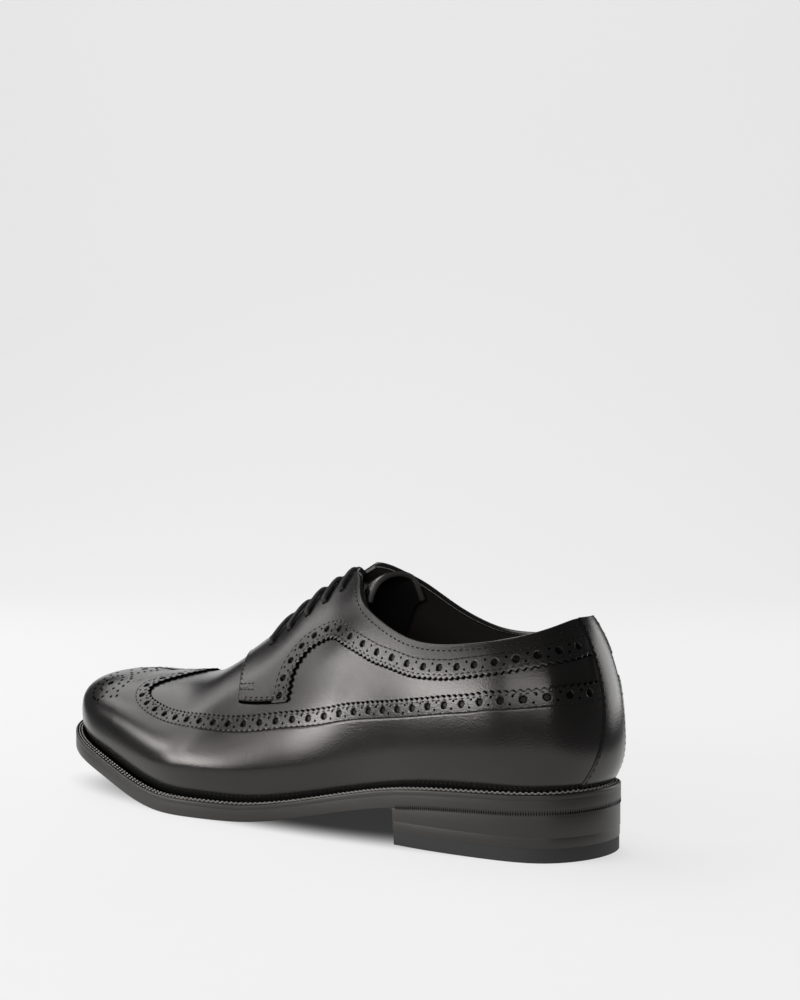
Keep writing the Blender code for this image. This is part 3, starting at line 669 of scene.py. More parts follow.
def last_point(along, share, side, ridge=None, full=None):
    """A quarter arc tucks in at the seam, then powers of sine and cosine arch up to the
    ridge.  The share is 0 at the seam and 1 on the ridge."""
    centre_x, centre_y, out_x, out_y = station(along, side)
    foot = seam_reach(along, side)
    wide = foot + by_side("swell", along, side)
    seat = sole_top(centre_x + out_x * foot)
    level = seat + by_side("wide", along, side)
    ridge = LAST_AT["ridge"](along) if ridge is None else ridge
    full = by_side("full", along, side) if full is None else full
    low = TUCK_START + (np.pi / 2 - TUCK_START) * np.clip(share / TUCK_SHARE, 0, 1)
    high = np.pi / 2 * np.clip((share - TUCK_SHARE) / (1 - TUCK_SHARE), 0, 1)
    tuck_out = (np.sin(low) - np.sin(TUCK_START)) / (1 - np.sin(TUCK_START))
    tuck_up = 1 - np.cos(low) / np.cos(TUCK_START)
    tucked = share < TUCK_SHARE
    cosine = np.maximum(np.cos(high), 0.0)
    out = np.where(tucked, foot + (wide - foot) * tuck_out, wide * cosine ** full)
    up = np.where(tucked, seat + (level - seat) * tuck_up,
                  level + (ridge - level) * np.sin(high) ** full)
    return np.stack([centre_x + out_x * out, centre_y + out_y * out, up], -1)


def to_pattern(along, share, side):
    """p and q: GIRTH times 1 minus the share, laid out along the station's direction."""
    along = np.asarray(along, float)
    angle = fan_angle(along)
    out = GIRTH * (1 - np.asarray(share, float))
    p = np.clip(along, HEEL_X, TOE_X) + out * np.cos(angle)
    return np.stack([p, side * out * np.sin(angle)], -1)


def from_pattern(pattern):
    """Station, share and side of a spot on the flat pattern."""
    p, q = pattern[..., 0], pattern[..., 1]
    side = np.where(q < 0, -1.0, 1.0)
    across = np.abs(q)
    heel = np.hypot(np.minimum(p - HEEL_X, 0), across)
    toe = np.hypot(np.maximum(p - TOE_X, 0), across)
    heel_angle = np.arctan2(across, HEEL_X - p)
    toe_angle = np.arctan2(across, p - TOE_X)
    along = np.where(p < HEEL_X, BACK + HEEL_TURN * heel_angle / (np.pi / 2), p)
    along = np.where(p > TOE_X, TIP - TOE_TURN * toe_angle / (np.pi / 2), along)
    out = np.where(p < HEEL_X, heel, np.where(p > TOE_X, toe, across))
    return along, 1 - out / GIRTH, side


def on_last(pattern):
    """The point of the last above a spot of the pattern."""
    along, share, side = from_pattern(pattern)
    return last_point(along, share, side)


def slopes(pattern):
    """The last's two tangents, by differences over a tenth of a millimetre."""
    small = 0.05
    step_p = np.array([small, 0.0])
    step_q = np.array([0.0, small])
    along_p = (on_last(pattern + step_p) - on_last(pattern - step_p)) / (2 * small)
    along_q = (on_last(pattern + step_q) - on_last(pattern - step_q)) / (2 * small)
    return along_p, along_q


def unit(vectors):
    """Vectors divided by their own length."""
    return vectors / np.maximum(np.linalg.norm(vectors, axis=-1, keepdims=True), SHORTEST)


def distance_run(points):
    """Running sum of the distances from point to point, from 0."""
    return np.concatenate([[0.0], np.cumsum(np.linalg.norm(np.diff(points, axis=0), axis=1))])


def read_along(at, run, values):
    """Values at distances along a path, each column read off between its points."""
    return np.stack([np.interp(at, run, line) for line in values.T], -1)


def ring_angles(count):
    """Even angles once round a circle."""
    return np.linspace(0, 2 * np.pi, count, endpoint=False)


def outward(pattern):
    """The direction square to the last: the cross product of its two tangents."""
    along_p, along_q = slopes(pattern)
    return unit(np.cross(along_p, along_q))


def worn(pattern):
    """Sum of the soft troughs, each a bell curve over the pattern with its own depth."""
    height = np.zeros(pattern.shape[:-1])
    for p, q, half_length, half_width, depth in CREASES:
        across = (pattern[..., 0] - p) / half_width
        along = (pattern[..., 1] - q) / half_length
        height -= depth * np.exp(-across ** 2 - along ** 2)
    return height


def off_last(pattern, height):
    """A point standing a height above the last, with the troughs of wear."""
    level = np.asarray(height) + worn(pattern)
    return on_last(pattern) + outward(pattern) * level[..., None]


def opening_share(along, side):
    """Share of the wall at the opening: the collar, then the edge of the throat."""
    full = by_side("full", along, side)
    wide = seam_reach(along, side) + by_side("swell", along, side)
    high = np.arccos(np.clip(THROAT_HALF / wide, 0, 1) ** (1 / full))
    throat = TUCK_SHARE + (1 - TUCK_SHARE) * high / (np.pi / 2)
    corner = CORNER_OUTER if side > 0 else CORNER_INNER
    return np.where(along < corner, np.minimum(COLLAR_AT[side](along), throat), throat)


def wall_room(x, z, side):
    """Half the width between the walls of the upper at a height."""
    wide = seam_reach(x, side) + by_side("swell", x, side)
    level = sole_top(x) + by_side("wide", x, side)
    full = by_side("full", x, side)
    rise = np.clip((z - level) / (LAST_AT["ridge"](x) - level), 0, 1)
    return wide * (1 - rise ** (2 / full)) ** (full / 2) - (WALL + BASE_DEPTH) * TONGUE_ROOM


def knee(along, side):
    """On the inner side the collar meets the throat a little farther back."""
    shift = np.interp(along, (KNEE_FROM, CORNER_OUTER, KNEE_TO),
                      (0.0, CORNER_INNER - CORNER_OUTER, 0.0))
    return along + shift if side < 0 else along


def beside_stay(pattern, side):
    """Slides spots near the heel so that they start just under the backstay's edge."""
    along, share, _ = from_pattern(pattern)
    edge = STAY_OUTER(share) if side > 0 else STAY_WIDER - STAY_INNER(share)
    first = BACK + edge - STAY_LAP
    squeezed = HEEL_X - (HEEL_X - along) * (HEEL_X - first) / (HEEL_X - WING[0][0])
    return to_pattern(np.where(along < HEEL_X, squeezed, along), share, side)


def sheet(lower, upper, rows):
    """Spots on straight pattern lines between two edges, one line a column."""
    rows = np.asarray(rows)[None, :, None]
    return lower[:, None, :] * (1 - rows) + upper[:, None, :] * rows


def smooth_curve(spots):
    """A cubic through pattern spots over their running distance, and that distance."""
    spots = np.asarray(spots)
    run = distance_run(spots)
    p = spline(run, spots[:, 0])
    q = spline(run, spots[:, 1])
    return run, lambda at: np.stack([p(at), q(at)], -1)


def by_length(curve, first, last, step):
    """Spots at even true distances along a pattern curve, their distances and settings."""
    dense = np.linspace(first, last, CURVE_COUNT)
    run = distance_run(on_last(curve(dense)))
    length = np.linspace(0.0, run[-1], max(2, int(round(run[-1] / step)) + 1))
    setting = np.interp(length, run, dense)
    return curve(setting), length, setting


def inset(spots, distance, turn):
    """Moves a pattern curve sideways by true distances: the step across the curve in the
    last's tangent plane is solved back into p and q."""
    points = on_last(spots)
    ahead = unit(np.gradient(points, axis=0))
    along_p, along_q = slopes(spots)
    across = np.cross(unit(np.cross(along_p, along_q)), ahead) * turn
    pp = (along_p * along_p).sum(-1)
    pq = (along_p * along_q).sum(-1)
    qq = (along_q * along_q).sum(-1)
    onto_p = (along_p * across).sum(-1)
    onto_q = (along_q * across).sum(-1)
    size = pp * qq - pq * pq
    step = np.stack([(qq * onto_p - pq * onto_q) / size, (pp * onto_q - pq * onto_p) / size], -1)
    distance = np.asarray(distance, float)
    if distance.ndim == 1:
        distance = np.broadcast_to(distance, (len(spots), len(distance)))
    return spots[:, None] + step[:, None] * distance[..., None]


def inset_line(spots, place, turn):
    """One line beside a pattern curve, everywhere at one true distance."""
    return inset(spots, np.array([place]), turn)[:, 0]


def tube_faces(count, around, closed):
    """Quads from ring to ring, closed round each ring, with a cap on each open end."""
    i = np.arange(count if closed else count - 1)[:, None]
    k = np.arange(around)[None, :]
    j = (i + 1) % count
    n = (k + 1) % around
    quads = np.stack([i * around + k, j * around + k, j * around + n, i * around + n], -1)
    faces = quads.reshape(-1, 4).tolist()
    if not closed:
        faces.append(list(range(around)))
        faces.append(list(range((count - 1) * around, count * around)))
    return faces


def add_piece(name, points, faces, surfaces, slots=None, shade=None, sharp=SHARP):
    """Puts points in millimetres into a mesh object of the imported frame."""
    mesh = bpy.data.meshes.new(name)
    mesh.from_pydata(((np.asarray(points) - BASE_MIDDLE) * MM).tolist(), [], faces)
    if shade is not None:
        layer = mesh.attributes.new("shade", "FLOAT", "POINT")
        layer.data.foreach_set("value", np.asarray(shade, float).ravel())
    for surface in surfaces:
        mesh.materials.append(surface)
    if slots is not None:
        mesh.polygons.foreach_set("material_index", np.asarray(slots, int))
    shape = bmesh.new()
    shape.from_mesh(mesh)
    bmesh.ops.remove_doubles(shape, verts=shape.verts, dist=MERGED)
    bmesh.ops.recalc_face_normals(shape, faces=shape.faces)
    shape.to_mesh(mesh)
    shape.free()
    mesh.polygons.foreach_set("use_smooth", np.ones(len(mesh.polygons), bool))
    mesh.set_sharp_from_angle(angle=math.radians(sharp))
    piece = bpy.data.objects.new(name, mesh)
    bpy.context.scene.collection.objects.link(piece)
    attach(piece, "root")
    return piece


def add_tube(name, rings, surfaces, closed=False, around_slots=None, shade=None, sharp=SHARP):
    """A piece from rings of points, one ring a column."""
    count, around = rings.shape[:2]
    faces = tube_faces(count, around, closed)
    slots = None
    if around_slots is not None:
        slots = np.tile(np.asarray(around_slots), count if closed else count - 1)
        slots = np.concatenate([slots, np.zeros(len(faces) - len(slots), int)])
    return add_piece(name, rings.reshape(-1, 3), faces, surfaces, slots, shade, sharp)


class Link:
    """A node's output; arithmetic on it adds Math nodes."""

    def __init__(self, finish, socket):
        self.finish = finish
        self.socket = socket

    def maths(self, operation, first, second):
        """One Math node on two values or links."""
        return self.finish.node("ShaderNodeMath", {"operation": operation}, {0: first, 1: second})

    def __add__(self, other):
        return self.maths("ADD", self, other)

    def __radd__(self, other):
        return self.maths("ADD", other, self)

    def __sub__(self, other):
        return self.maths("SUBTRACT", self, other)

    def __rsub__(self, other):
        return self.maths("SUBTRACT", other, self)

    def __mul__(self, other):
        return self.maths("MULTIPLY", self, other)

    def __rmul__(self, other):
        return self.maths("MULTIPLY", other, self)

    def __truediv__(self, other):
        return self.maths("DIVIDE", self, other)

    def __rtruediv__(self, other):
        return self.maths("DIVIDE", other, self)


class Finish:
    """A material under construction, and the one method that adds a node to it."""

    def __init__(self, name):
        self.material = bpy.data.materials.new(name)
        self.material.use_nodes = True
        self.tree = self.material.node_tree
        self.surface = self.tree.nodes["Principled BSDF"]

    def node(self, kind, settings=None, inputs=None, output=0):
        """A new node with its settings, then the values and links of its sockets."""
        made = self.tree.nodes.new(kind)
        for key, value in (settings or {}).items():
            setattr(made, key, value)
        self.feed(made, inputs or {})
        return Link(self, made.outputs[output])

    def feed(self, node, inputs):
        """Links or plain values into a node's sockets."""
        for key, value in inputs.items():
            if isinstance(value, Link):
                self.tree.links.new(value.socket, node.inputs[key])
            else:
                node.inputs[key].default_value = value

    def shine(self, inputs):
        """The finished material, with the sockets of its surface set."""
        self.feed(self.surface, inputs)
        return self.material

    def hollow(self, factor):
        """Mixes the surface with matte black: painted shade for holes and gaps, and for cut edges,
        which are also dyed black.
        """
        black = self.node("ShaderNodeBsdfPrincipled", {}, {
            "Base Color": (0.0012, 0.0011, 0.0011, 1.0), "Roughness": 1.0,
            "Specular IOR Level": 0.0})
        mixed = self.node("ShaderNodeMixShader", {}, {
            0: factor, 1: Link(self, self.surface.outputs[0]), 2: black})
        self.tree.links.new(mixed.socket, self.tree.nodes["Material Output"].inputs["Surface"])

    def place(self):
        """Object coordinates, in metres."""
        return self.node("ShaderNodeTexCoord", output="Object")

    def noise(self, scale, detail=2.0, stretch=(1.0, 1.0, 1.0)):
        """Noise with so many cells a metre, stretched along the axes."""
        spot = self.node("ShaderNodeMapping", {}, {"Vector": self.place(), "Scale": stretch})
        return self.node("ShaderNodeTexNoise", {}, {"Vector": spot, "Scale": scale, "Detail": detail})

    def blend(self, factor, first, second):
        """A colour between two, by a factor."""
        return self.node("ShaderNodeMix", {"data_type": "RGBA"}, {0: factor, 6: first, 7: second}, 2)

    def along(self, direction):
        """Distance along a level direction in metres."""
        return self.node("ShaderNodeVectorMath", {"operation": "DOT_PRODUCT"},
                         {0: self.place(), 1: (direction[0], direction[1], 0.0)}, "Value")

    def ramp(self, value, low, high):
        """A smooth step from 0 to 1."""
        return self.node("ShaderNodeMapRange", {"interpolation_type": "SMOOTHSTEP"},
                         {"Value": value, "From Min": low, "From Max": high})

    def bump(self, height, strength, distance):
        """A normal tilted by the slope of a height."""
        return self.node("ShaderNodeBump", {}, {"Height": height, "Strength": strength,
                                                "Distance": distance})


def deeper(colour, share):
    """A colour scaled towards black."""
    return (colour[0] * share, colour[1] * share, colour[2] * share, 1.0)


def leather(name, colour, roughness, grain=0.13):
    """Polished calf: fine cells of grain, cloudy gloss, and black painted shade down in holes, gaps
    and cut edges.
    """
    finish = Finish(name)
    cells = finish.node("ShaderNodeTexVoronoi", {}, {"Vector": finish.place(), "Scale": 1500.0})
    fine = finish.noise(2600.0)
    cloud = finish.noise(45.0, 3.0)
    # the shade attribute: painted shade, mixed in as matte black
    shade = finish.node("ShaderNodeAttribute", {"attribute_name": "shade"}, {}, "Fac")
    finish.hollow(shade)
    return finish.shine({
        "Base Color": finish.blend(cloud, deeper(colour, 0.85), deeper(colour, 1.2)),
        "Roughness": roughness - 0.03 + cloud * 0.06,
        "Specular Tint": WARM,
        "Normal": finish.bump(cells * 0.6 + fine * 0.4, grain, 0.0004),
    })


def stained_edge(name, colour, roughness, lines):
    """Waxed sole leather: grain drawn out along the edge, in layers over the height."""
    finish = Finish(name)
    layers = finish.noise(90.0, 4.0, (0.12, 0.12, lines))
    specks = finish.noise(900.0, 2.0)
    cloud = finish.noise(30.0, 2.0)
    tone = finish.blend(layers, deeper(colour, 0.75), deeper(colour, 1.3))
    return finish.shine({
        "Base Color": tone,
        "Roughness": roughness - 0.06 + cloud * 0.12,
        "Specular Tint": WARM,
        "Normal": finish.bump(layers * 0.7 + specks * 0.3, 0.12, 0.0005),
    })


def plain_rubber(name, colour):
    """Moulded rubber: matte, with a fine even pitting."""
    finish = Finish(name)
    specks = finish.noise(1400.0, 3.0)
    return finish.shine({
        "Base Color": finish.blend(specks, deeper(colour, 0.8), deeper(colour, 1.2)),
        "Roughness": 0.52 + specks * 0.1,
        "Normal": finish.bump(specks, 0.15, 0.0004),
    })


def cord_finish(name, colour, scale):
    """Waxed cord: slanting strands as a fine wave."""
    finish = Finish(name)
    strands = finish.node("ShaderNodeTexWave", {"bands_direction": "DIAGONAL"},
                          {"Vector": finish.place(), "Scale": scale, "Distortion": 1.5})
    fuzz = finish.noise(3000.0, 2.0)
    return finish.shine({
        "Base Color": finish.blend(strands, deeper(colour, 0.7), deeper(colour, 1.4)),
        "Roughness": 0.55 + fuzz * 0.15,
        "Normal": finish.bump(strands * 0.8 + fuzz * 0.2, 0.45, 0.0004),
    })


def painted_shade_finish(name):
    """Matte black inside needle holes, punched holes, slots and channels: painted shade."""
    finish = Finish(name)
    specks = finish.noise(2000.0)
    return finish.shine({
        "Base Color": finish.blend(specks, (0.001, 0.001, 0.001, 1), (0.003, 0.003, 0.003, 1)),
        "Roughness": 0.9,
        "Specular IOR Level": 0.0,
    })


def kept(maker, name, *values, **more):
    """The material of that name, made on first use."""
    return bpy.data.materials.get(name) or maker(name, *values, **more)


def calf(context):
    """The polished calf of the upper."""
    finish = context.scene.derby_finish
    return kept(leather, "polished_calf", tuple(finish.leather), finish.leather_roughness)


def lining_leather(context):
    """The matte leather inside the shoe."""
    return kept(leather, "lining_leather", tuple(context.scene.derby_finish.lining), 0.6,
                grain=0.15)


def peak_lean(pattern):
    """The wing's peak leans a little to the outer side of the ridge."""
    near = np.clip(1 - np.abs(pattern[..., 1]) / PEAK_LEAN_HALF, 0, 1)
    ahead = ease((pattern[..., 0] - PEAK_LEAN_FROM) / PEAK_LEAN_RUN)
    leant = pattern.copy()
    leant[..., 1] += PEAK_LEAN * near * ahead
    return leant


class Wing:
    """Pattern lines of one side of the wing: sole seam, pinked edge and opening."""

    def __init__(self, side, to_back=False):
        self.side = side
        table = np.array(WING)
        if to_back:
            table = np.vstack([[BACK, table[0, 1], BACK, BACK], table])
        edge_along, edge_share, foot_along, top_along = table.T
        self.run, self.edge = smooth_curve(peak_lean(to_pattern(edge_along, edge_share, side)))
        self.foot_along = spline(self.run, foot_along)
        self.top_along = spline(self.run, top_along)

    def foot(self, at):
        """Spots on the sole seam."""
        along = self.foot_along(at)
        return to_pattern(along, np.zeros_like(along), self.side)

    def own_half(self, spots):
        """Spots kept on this side of the leaning middle line."""
        middle = peak_lean(spots * (1.0, 0.0))[..., 1]
        kept_q = self.side * np.maximum(self.side * (spots[..., 1] - middle), 0.0) + middle
        return np.stack([spots[..., 0], kept_q], -1)

    def top(self, at):
        """The opening; over the last stretch it closes across the throat's front."""
        along = knee(self.top_along(at), self.side)
        shut = np.clip((at - self.run[-2]) / (self.run[-1] - self.run[-2]), 0, 1)
        share = opening_share(along, self.side)
        return to_pattern(along, share + (1 - share) * shut, self.side)


def facing_top(along, side):
    """Spots on the throat and collar above a facing's edge."""
    along = knee(along, side)
    return to_pattern(along, opening_share(along, side), side)


class Facing:
    """Pattern lines of one facing: its tab's plain bottom and its pinked edge."""

    # distance from the tab in which the band swings into the pinked edge's own course, and the
    # step along the tab's bottom
    SWING_RUN = 8.0
    BOTTOM_STEP = 0.1

    def __init__(self, side):
        self.side = side
        tab = np.array(TAB)
        edge = np.array(FACING)
        self.tab_run, self.tab = smooth_curve(to_pattern(tab[:, 0], tab[:, 1], side))
        self.run, self.edge = smooth_curve(to_pattern(edge[:, 0], edge[:, 1], side))
        self.tab_top = spline(self.tab_run, tab[:, 2])
        self.edge_top = spline(self.run, edge[:, 2])

    def band(self, spots, length, distance):
        """Inset lines of the pinked edge, swung to lie along the tab's bottom at its start."""
        lines = inset(spots, distance, self.side)
        bottom, run, _ = by_length(self.tab, self.tab_run[-1], self.tab_run[0], self.BOTTOM_STEP)
        distance = np.broadcast_to(distance, lines.shape[:2])
        on_bottom = read_along(distance[0], run, bottom)
        swing = np.clip(1 - length / self.SWING_RUN, 0, 1)
        return lines + (on_bottom - lines[0])[None] * (swing ** 2)[:, None, None]

    def line(self, spots, length, place):
        """One line of the band, everywhere at one distance from the pinked edge."""
        return self.band(spots, length, np.full((len(spots), 1), place))[:, 0]


def tooth_wave(length, pitch):
    """A triangle wave from 0 to 1 along an edge."""
    part = np.mod(length / pitch, 1.0)
    return 1 - np.abs(2 * part - 1)


def hole_dents(run, distance, sizes, middle, places):
    """Depth of a row of punched holes, each round about its place, and their painted shade,
    which is greatest on the cut wall."""
    nearest = places[np.abs(run[:, None] - places[None]).argmin(1)]
    off = np.hypot((run - nearest)[:, None], distance - middle)
    hole = ease((sizes.hole_radius / MM + HOLE_LIP - off) / HOLE_WALL)
    dark = HOLE_FLOOR_PAINTED_SHADE * hole + HOLE_WALL_PAINTED_SHADE * hole * (1 - hole)
    return sizes.hole_depth / MM * hole, np.clip(dark, 0, 1)


def band_rings(lines, run, distance, sizes, middle, places):
    """Rings of a pinked and punched band: dents inside, bevels at both long edges and cut
    walls down to a flat underside, black for the dyed cut edge and for painted shade."""
    depth, dark = hole_dents(run, distance, sizes, middle, places)
    height = -depth
    height[:, :2] -= PINKED_BEVEL
    height[:, -1] -= INNER_BEVEL
    # the pinked edge's first line is black: dyed cut edge and painted shade of the teeth; the last
    # line gets painted shade of its step
    dark[:, 0] = 1.0
    dark[:, -1] = np.maximum(dark[:, -1], INNER_EDGE_PAINTED_SHADE)
    top = off_last(lines, height)
    first = off_last(lines[:, 0], UNDER_OVERLAY)
    last = off_last(lines[:, -1], UNDER_OVERLAY)
    rings = np.concatenate([first[:, None], top, last[:, None]], axis=1)
    return rings, np.pad(dark, ((0, 0), (1, 1)), constant_values=1.0)


def pinked(length, distance, sizes, tooth_out, fading=None):
    """Distances from an edge with its first few rows pushed out into teeth."""
    tooth = sizes.tooth_depth / MM * tooth_wave(length, sizes.tooth_pitch / MM) - tooth_out
    if fading is not None:
        tooth = tooth * fading
    fade = np.clip(1 - distance / TOOTH_ROOT, 0, 1)
    return distance[None, :] - tooth[:, None] * fade[None, :]


def pin_spots(line, run, places, slant):
    """Spots halfway between the large holes, set off along the line."""
    return read_along((places[1:] + places[:-1]) / 2 + slant, run, line)


class StitchRow:
    """Places, directions and normals of one row of stitches, spread evenly along a path."""

    def __init__(self, path, normal, pitch):
        run = distance_run(path)
        count = max(1, int(run[-1] / pitch))
        at = (np.arange(count) + 0.5) * run[-1] / count
        self.places = read_along(at, run, path)
        self.ahead = unit(read_along(at, run, unit(np.gradient(path, axis=0))))
        self.normals = unit(read_along(at, run, normal))


def leather_row(spots, pitch, height=0.0):
    """A row on the leather, over pattern spots."""
    return StitchRow(off_last(spots, height), outward(spots), pitch)


def plan_row(path, pitch):
    """A row on an upward face, along a path."""
    return StitchRow(path, np.tile([0.0, 0.0, 1.0], (len(path), 1)), pitch)


def grain_template(length, width, height):
    """A small rounded grain: two points and three diamond rings between them."""
    stops = np.array([-0.30, 0.0, 0.30]) * length
    bulge = np.array([0.8, 1.0, 0.8])
    ring = np.array([[1.0, 0.0], [0.0, 1.0], [-1.0, 0.0], [0.0, -1.0]])
    rings = np.stack([
        np.repeat(stops, 4),
        np.outer(bulge, ring[:, 0]).ravel() * width / 2,
        np.outer(bulge, ring[:, 1]).ravel() * height,
    ], -1)
    tips = np.array([[-length / 2, 0.0, -height * 0.6], [length / 2, 0.0, -height * 0.6]])
    points = np.concatenate([tips, rings])
    faces = []
    for k in range(4):
        n = (k + 1) % 4
        faces.append((0, 2 + n, 2 + k))
        faces.append((1, 10 + k, 10 + n))
        faces.append((2 + k, 2 + n, 6 + n, 6 + k))
        faces.append((6 + k, 6 + n, 10 + n, 10 + k))
    return points, faces


def disc_template(drawn=1.0, sides=8):
    """A flat dot of radius 1 with a low rim, drawn out along the row."""
    angle = ring_angles(sides)
    ring = np.stack([drawn * np.cos(angle), np.sin(angle), np.zeros(sides)], -1)
    points = np.concatenate([ring, ring * 0.9 - (0.0, 0.0, 0.5)])
    faces = [tuple(range(sides)), tuple(range(2 * sides - 1, sides - 1, -1))]
    for k in range(sides):
        n = (k + 1) % sides
        faces.append((k, sides + k, sides + n, n))
    return points, faces


def scatter(places, ahead, normals, template, size=1.0):
    """Copies a small shape to many places: its own axes become the row's directions."""
    points, faces = template
    size = np.broadcast_to(size, len(places))[:, None, None]
    across = unit(np.cross(normals, ahead))
    ahead = unit(np.cross(across, normals))
    moved = (points[None, :, :1] * ahead[:, None] + points[None, :, 1:2] * across[:, None]
             + points[None, :, 2:] * normals[:, None]) * size + places[:, None]
    starts = len(points) * np.arange(len(places))[:, None]
    every = [corners for face in faces for corners in (starts + np.array(face)).tolist()]
    return moved.reshape(-1, 3), every


def punch(name, spots, radius, height=0.04):
    """Small punched holes as dots of painted shade on the leather."""
    ahead = np.tile([1.0, 0.0, 0.0], (len(spots), 1))
    points, faces = scatter(off_last(spots, height), ahead, outward(spots),
                            disc_template(sides=14), radius)
    add_piece(name, points, faces, [kept(painted_shade_finish, "needle_hole")], sharp=SHARP_DOT)


def sew(name, rows, surface, length, width, height, slot=0.34):
    """The thread of several rows, each stitch lying in a dark slot of painted shade, of a half width.
    """
    places = np.concatenate([row.places for row in rows])
    ahead = np.concatenate([row.ahead for row in rows])
    normals = np.concatenate([row.normals for row in rows])
    points, faces = scatter(places, ahead, normals, grain_template(length, width, height))
    add_piece(name + "_thread", points, faces, [surface], sharp=SHARP_ROUND)
    # a dark slot of painted shade under each stitch
    points, faces = scatter(places + SLOT_RISE * normals, ahead, normals,
                            disc_template(SLOT_DRAWN), slot)
    add_piece(name + "_slots", points, faces, [kept(painted_shade_finish, "needle_hole")], sharp=SHARP_DOT)


def sew_upper(name, rows, context):
    """Stitches of the upper: dark, short and sunk."""
    colour = tuple(context.scene.derby_finish.thread)
    thread = kept(cord_finish, "waxed_thread", colour, THREAD_TWIST)
    width = context.scene.derby_sizes.stitch_width / MM
    sew(name, rows, thread, STITCH_LENGTH, width, STITCH_HEIGHT)


def bead(name, points, normal, rise, across, along, surface):
    """A closed profile carried along a path: across the normal and along the rise."""
    rings = (points[:, None] + normal[:, None] * across[None, :, None]
             + rise[:, None] * along[None, :, None])
    piece = add_tube(name, rings, [surface], sharp=SHARP_ROUND)


class DERBY_OT_upper(bpy.types.Operator):
    """Vamp and quarters: one hollow wall with its lining and a rolled collar"""

    bl_idname = "derby.upper"
    bl_label = "Upper"

    # columns along each side, rows below and above the wing's edge, columns of the collar
    COLUMNS = 230
    LOW_ROWS = 16
    HIGH_ROWS = 50
    COLLAR_COLUMNS = 150

    # collar's bead: half its width across the wall, half its height, how far it sits down
    BEAD_HALF = 1.72
    BEAD_RISE = 0.95
    BEAD_DOWN = 0.45

    def execute(self, context):
        sides = []
        for side in (1, -1):
            wing = Wing(side, to_back=True)
            even = np.linspace(wing.run[0], wing.run[-1], self.COLUMNS)
            at = np.unique(np.concatenate([even, wing.run]))
            foot, edge, top = wing.foot(at), wing.edge(at), wing.top(at)
            low = sheet(foot, edge, np.linspace(0, 1, self.LOW_ROWS)[:-1])
            high = sheet(edge, top, np.linspace(0, 1, self.HIGH_ROWS))
            sides.append(np.concatenate([low, high], axis=1))
        pattern = np.concatenate([sides[0], sides[1][-2:0:-1]])
        outer = off_last(pattern, -BASE_DEPTH)
        inner = off_last(pattern, -BASE_DEPTH - WALL)
        for wall in (outer, inner):
            wall[:, 0, 2] = sole_top(wall[:, 0, 0])
        rings = np.concatenate([outer, inner[:, ::-1]], axis=1)
        rows = pattern.shape[1]
        slots = np.concatenate([np.zeros(rows, int), np.ones(rows, int)])
        slots[-1] = 0
        piece = add_tube("upper_wall", rings, [calf(context), lining_leather(context)],
                         closed=True, around_slots=slots)
        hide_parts("upper")
        self.collar(context)
        return {"FINISHED"}

    def collar(self, context):
        """A rolled bead over the collar's edge: an ellipse across the wall's thickness,
        carried round the heel from throat corner to throat corner."""
        inner = np.linspace(CORNER_INNER, BACK, self.COLLAR_COLUMNS)
        outer = np.linspace(BACK, CORNER_OUTER, self.COLLAR_COLUMNS)[1:]
        spots = np.concatenate([
            to_pattern(inner, opening_share(inner, -1), -1),
            to_pattern(outer, opening_share(outer, 1), 1),
        ])
        points = on_last(spots)
        normal = outward(spots)
        ahead = unit(np.gradient(points, axis=0))
        rise = unit(np.cross(normal, ahead))
        rise *= np.sign(rise[:, 2:])
        angle = ring_angles(14)
        bead("collar_bead", points, normal, rise, self.BEAD_HALF * (np.cos(angle) - 1),
             self.BEAD_RISE * np.sin(angle) - self.BEAD_DOWN, calf(context))


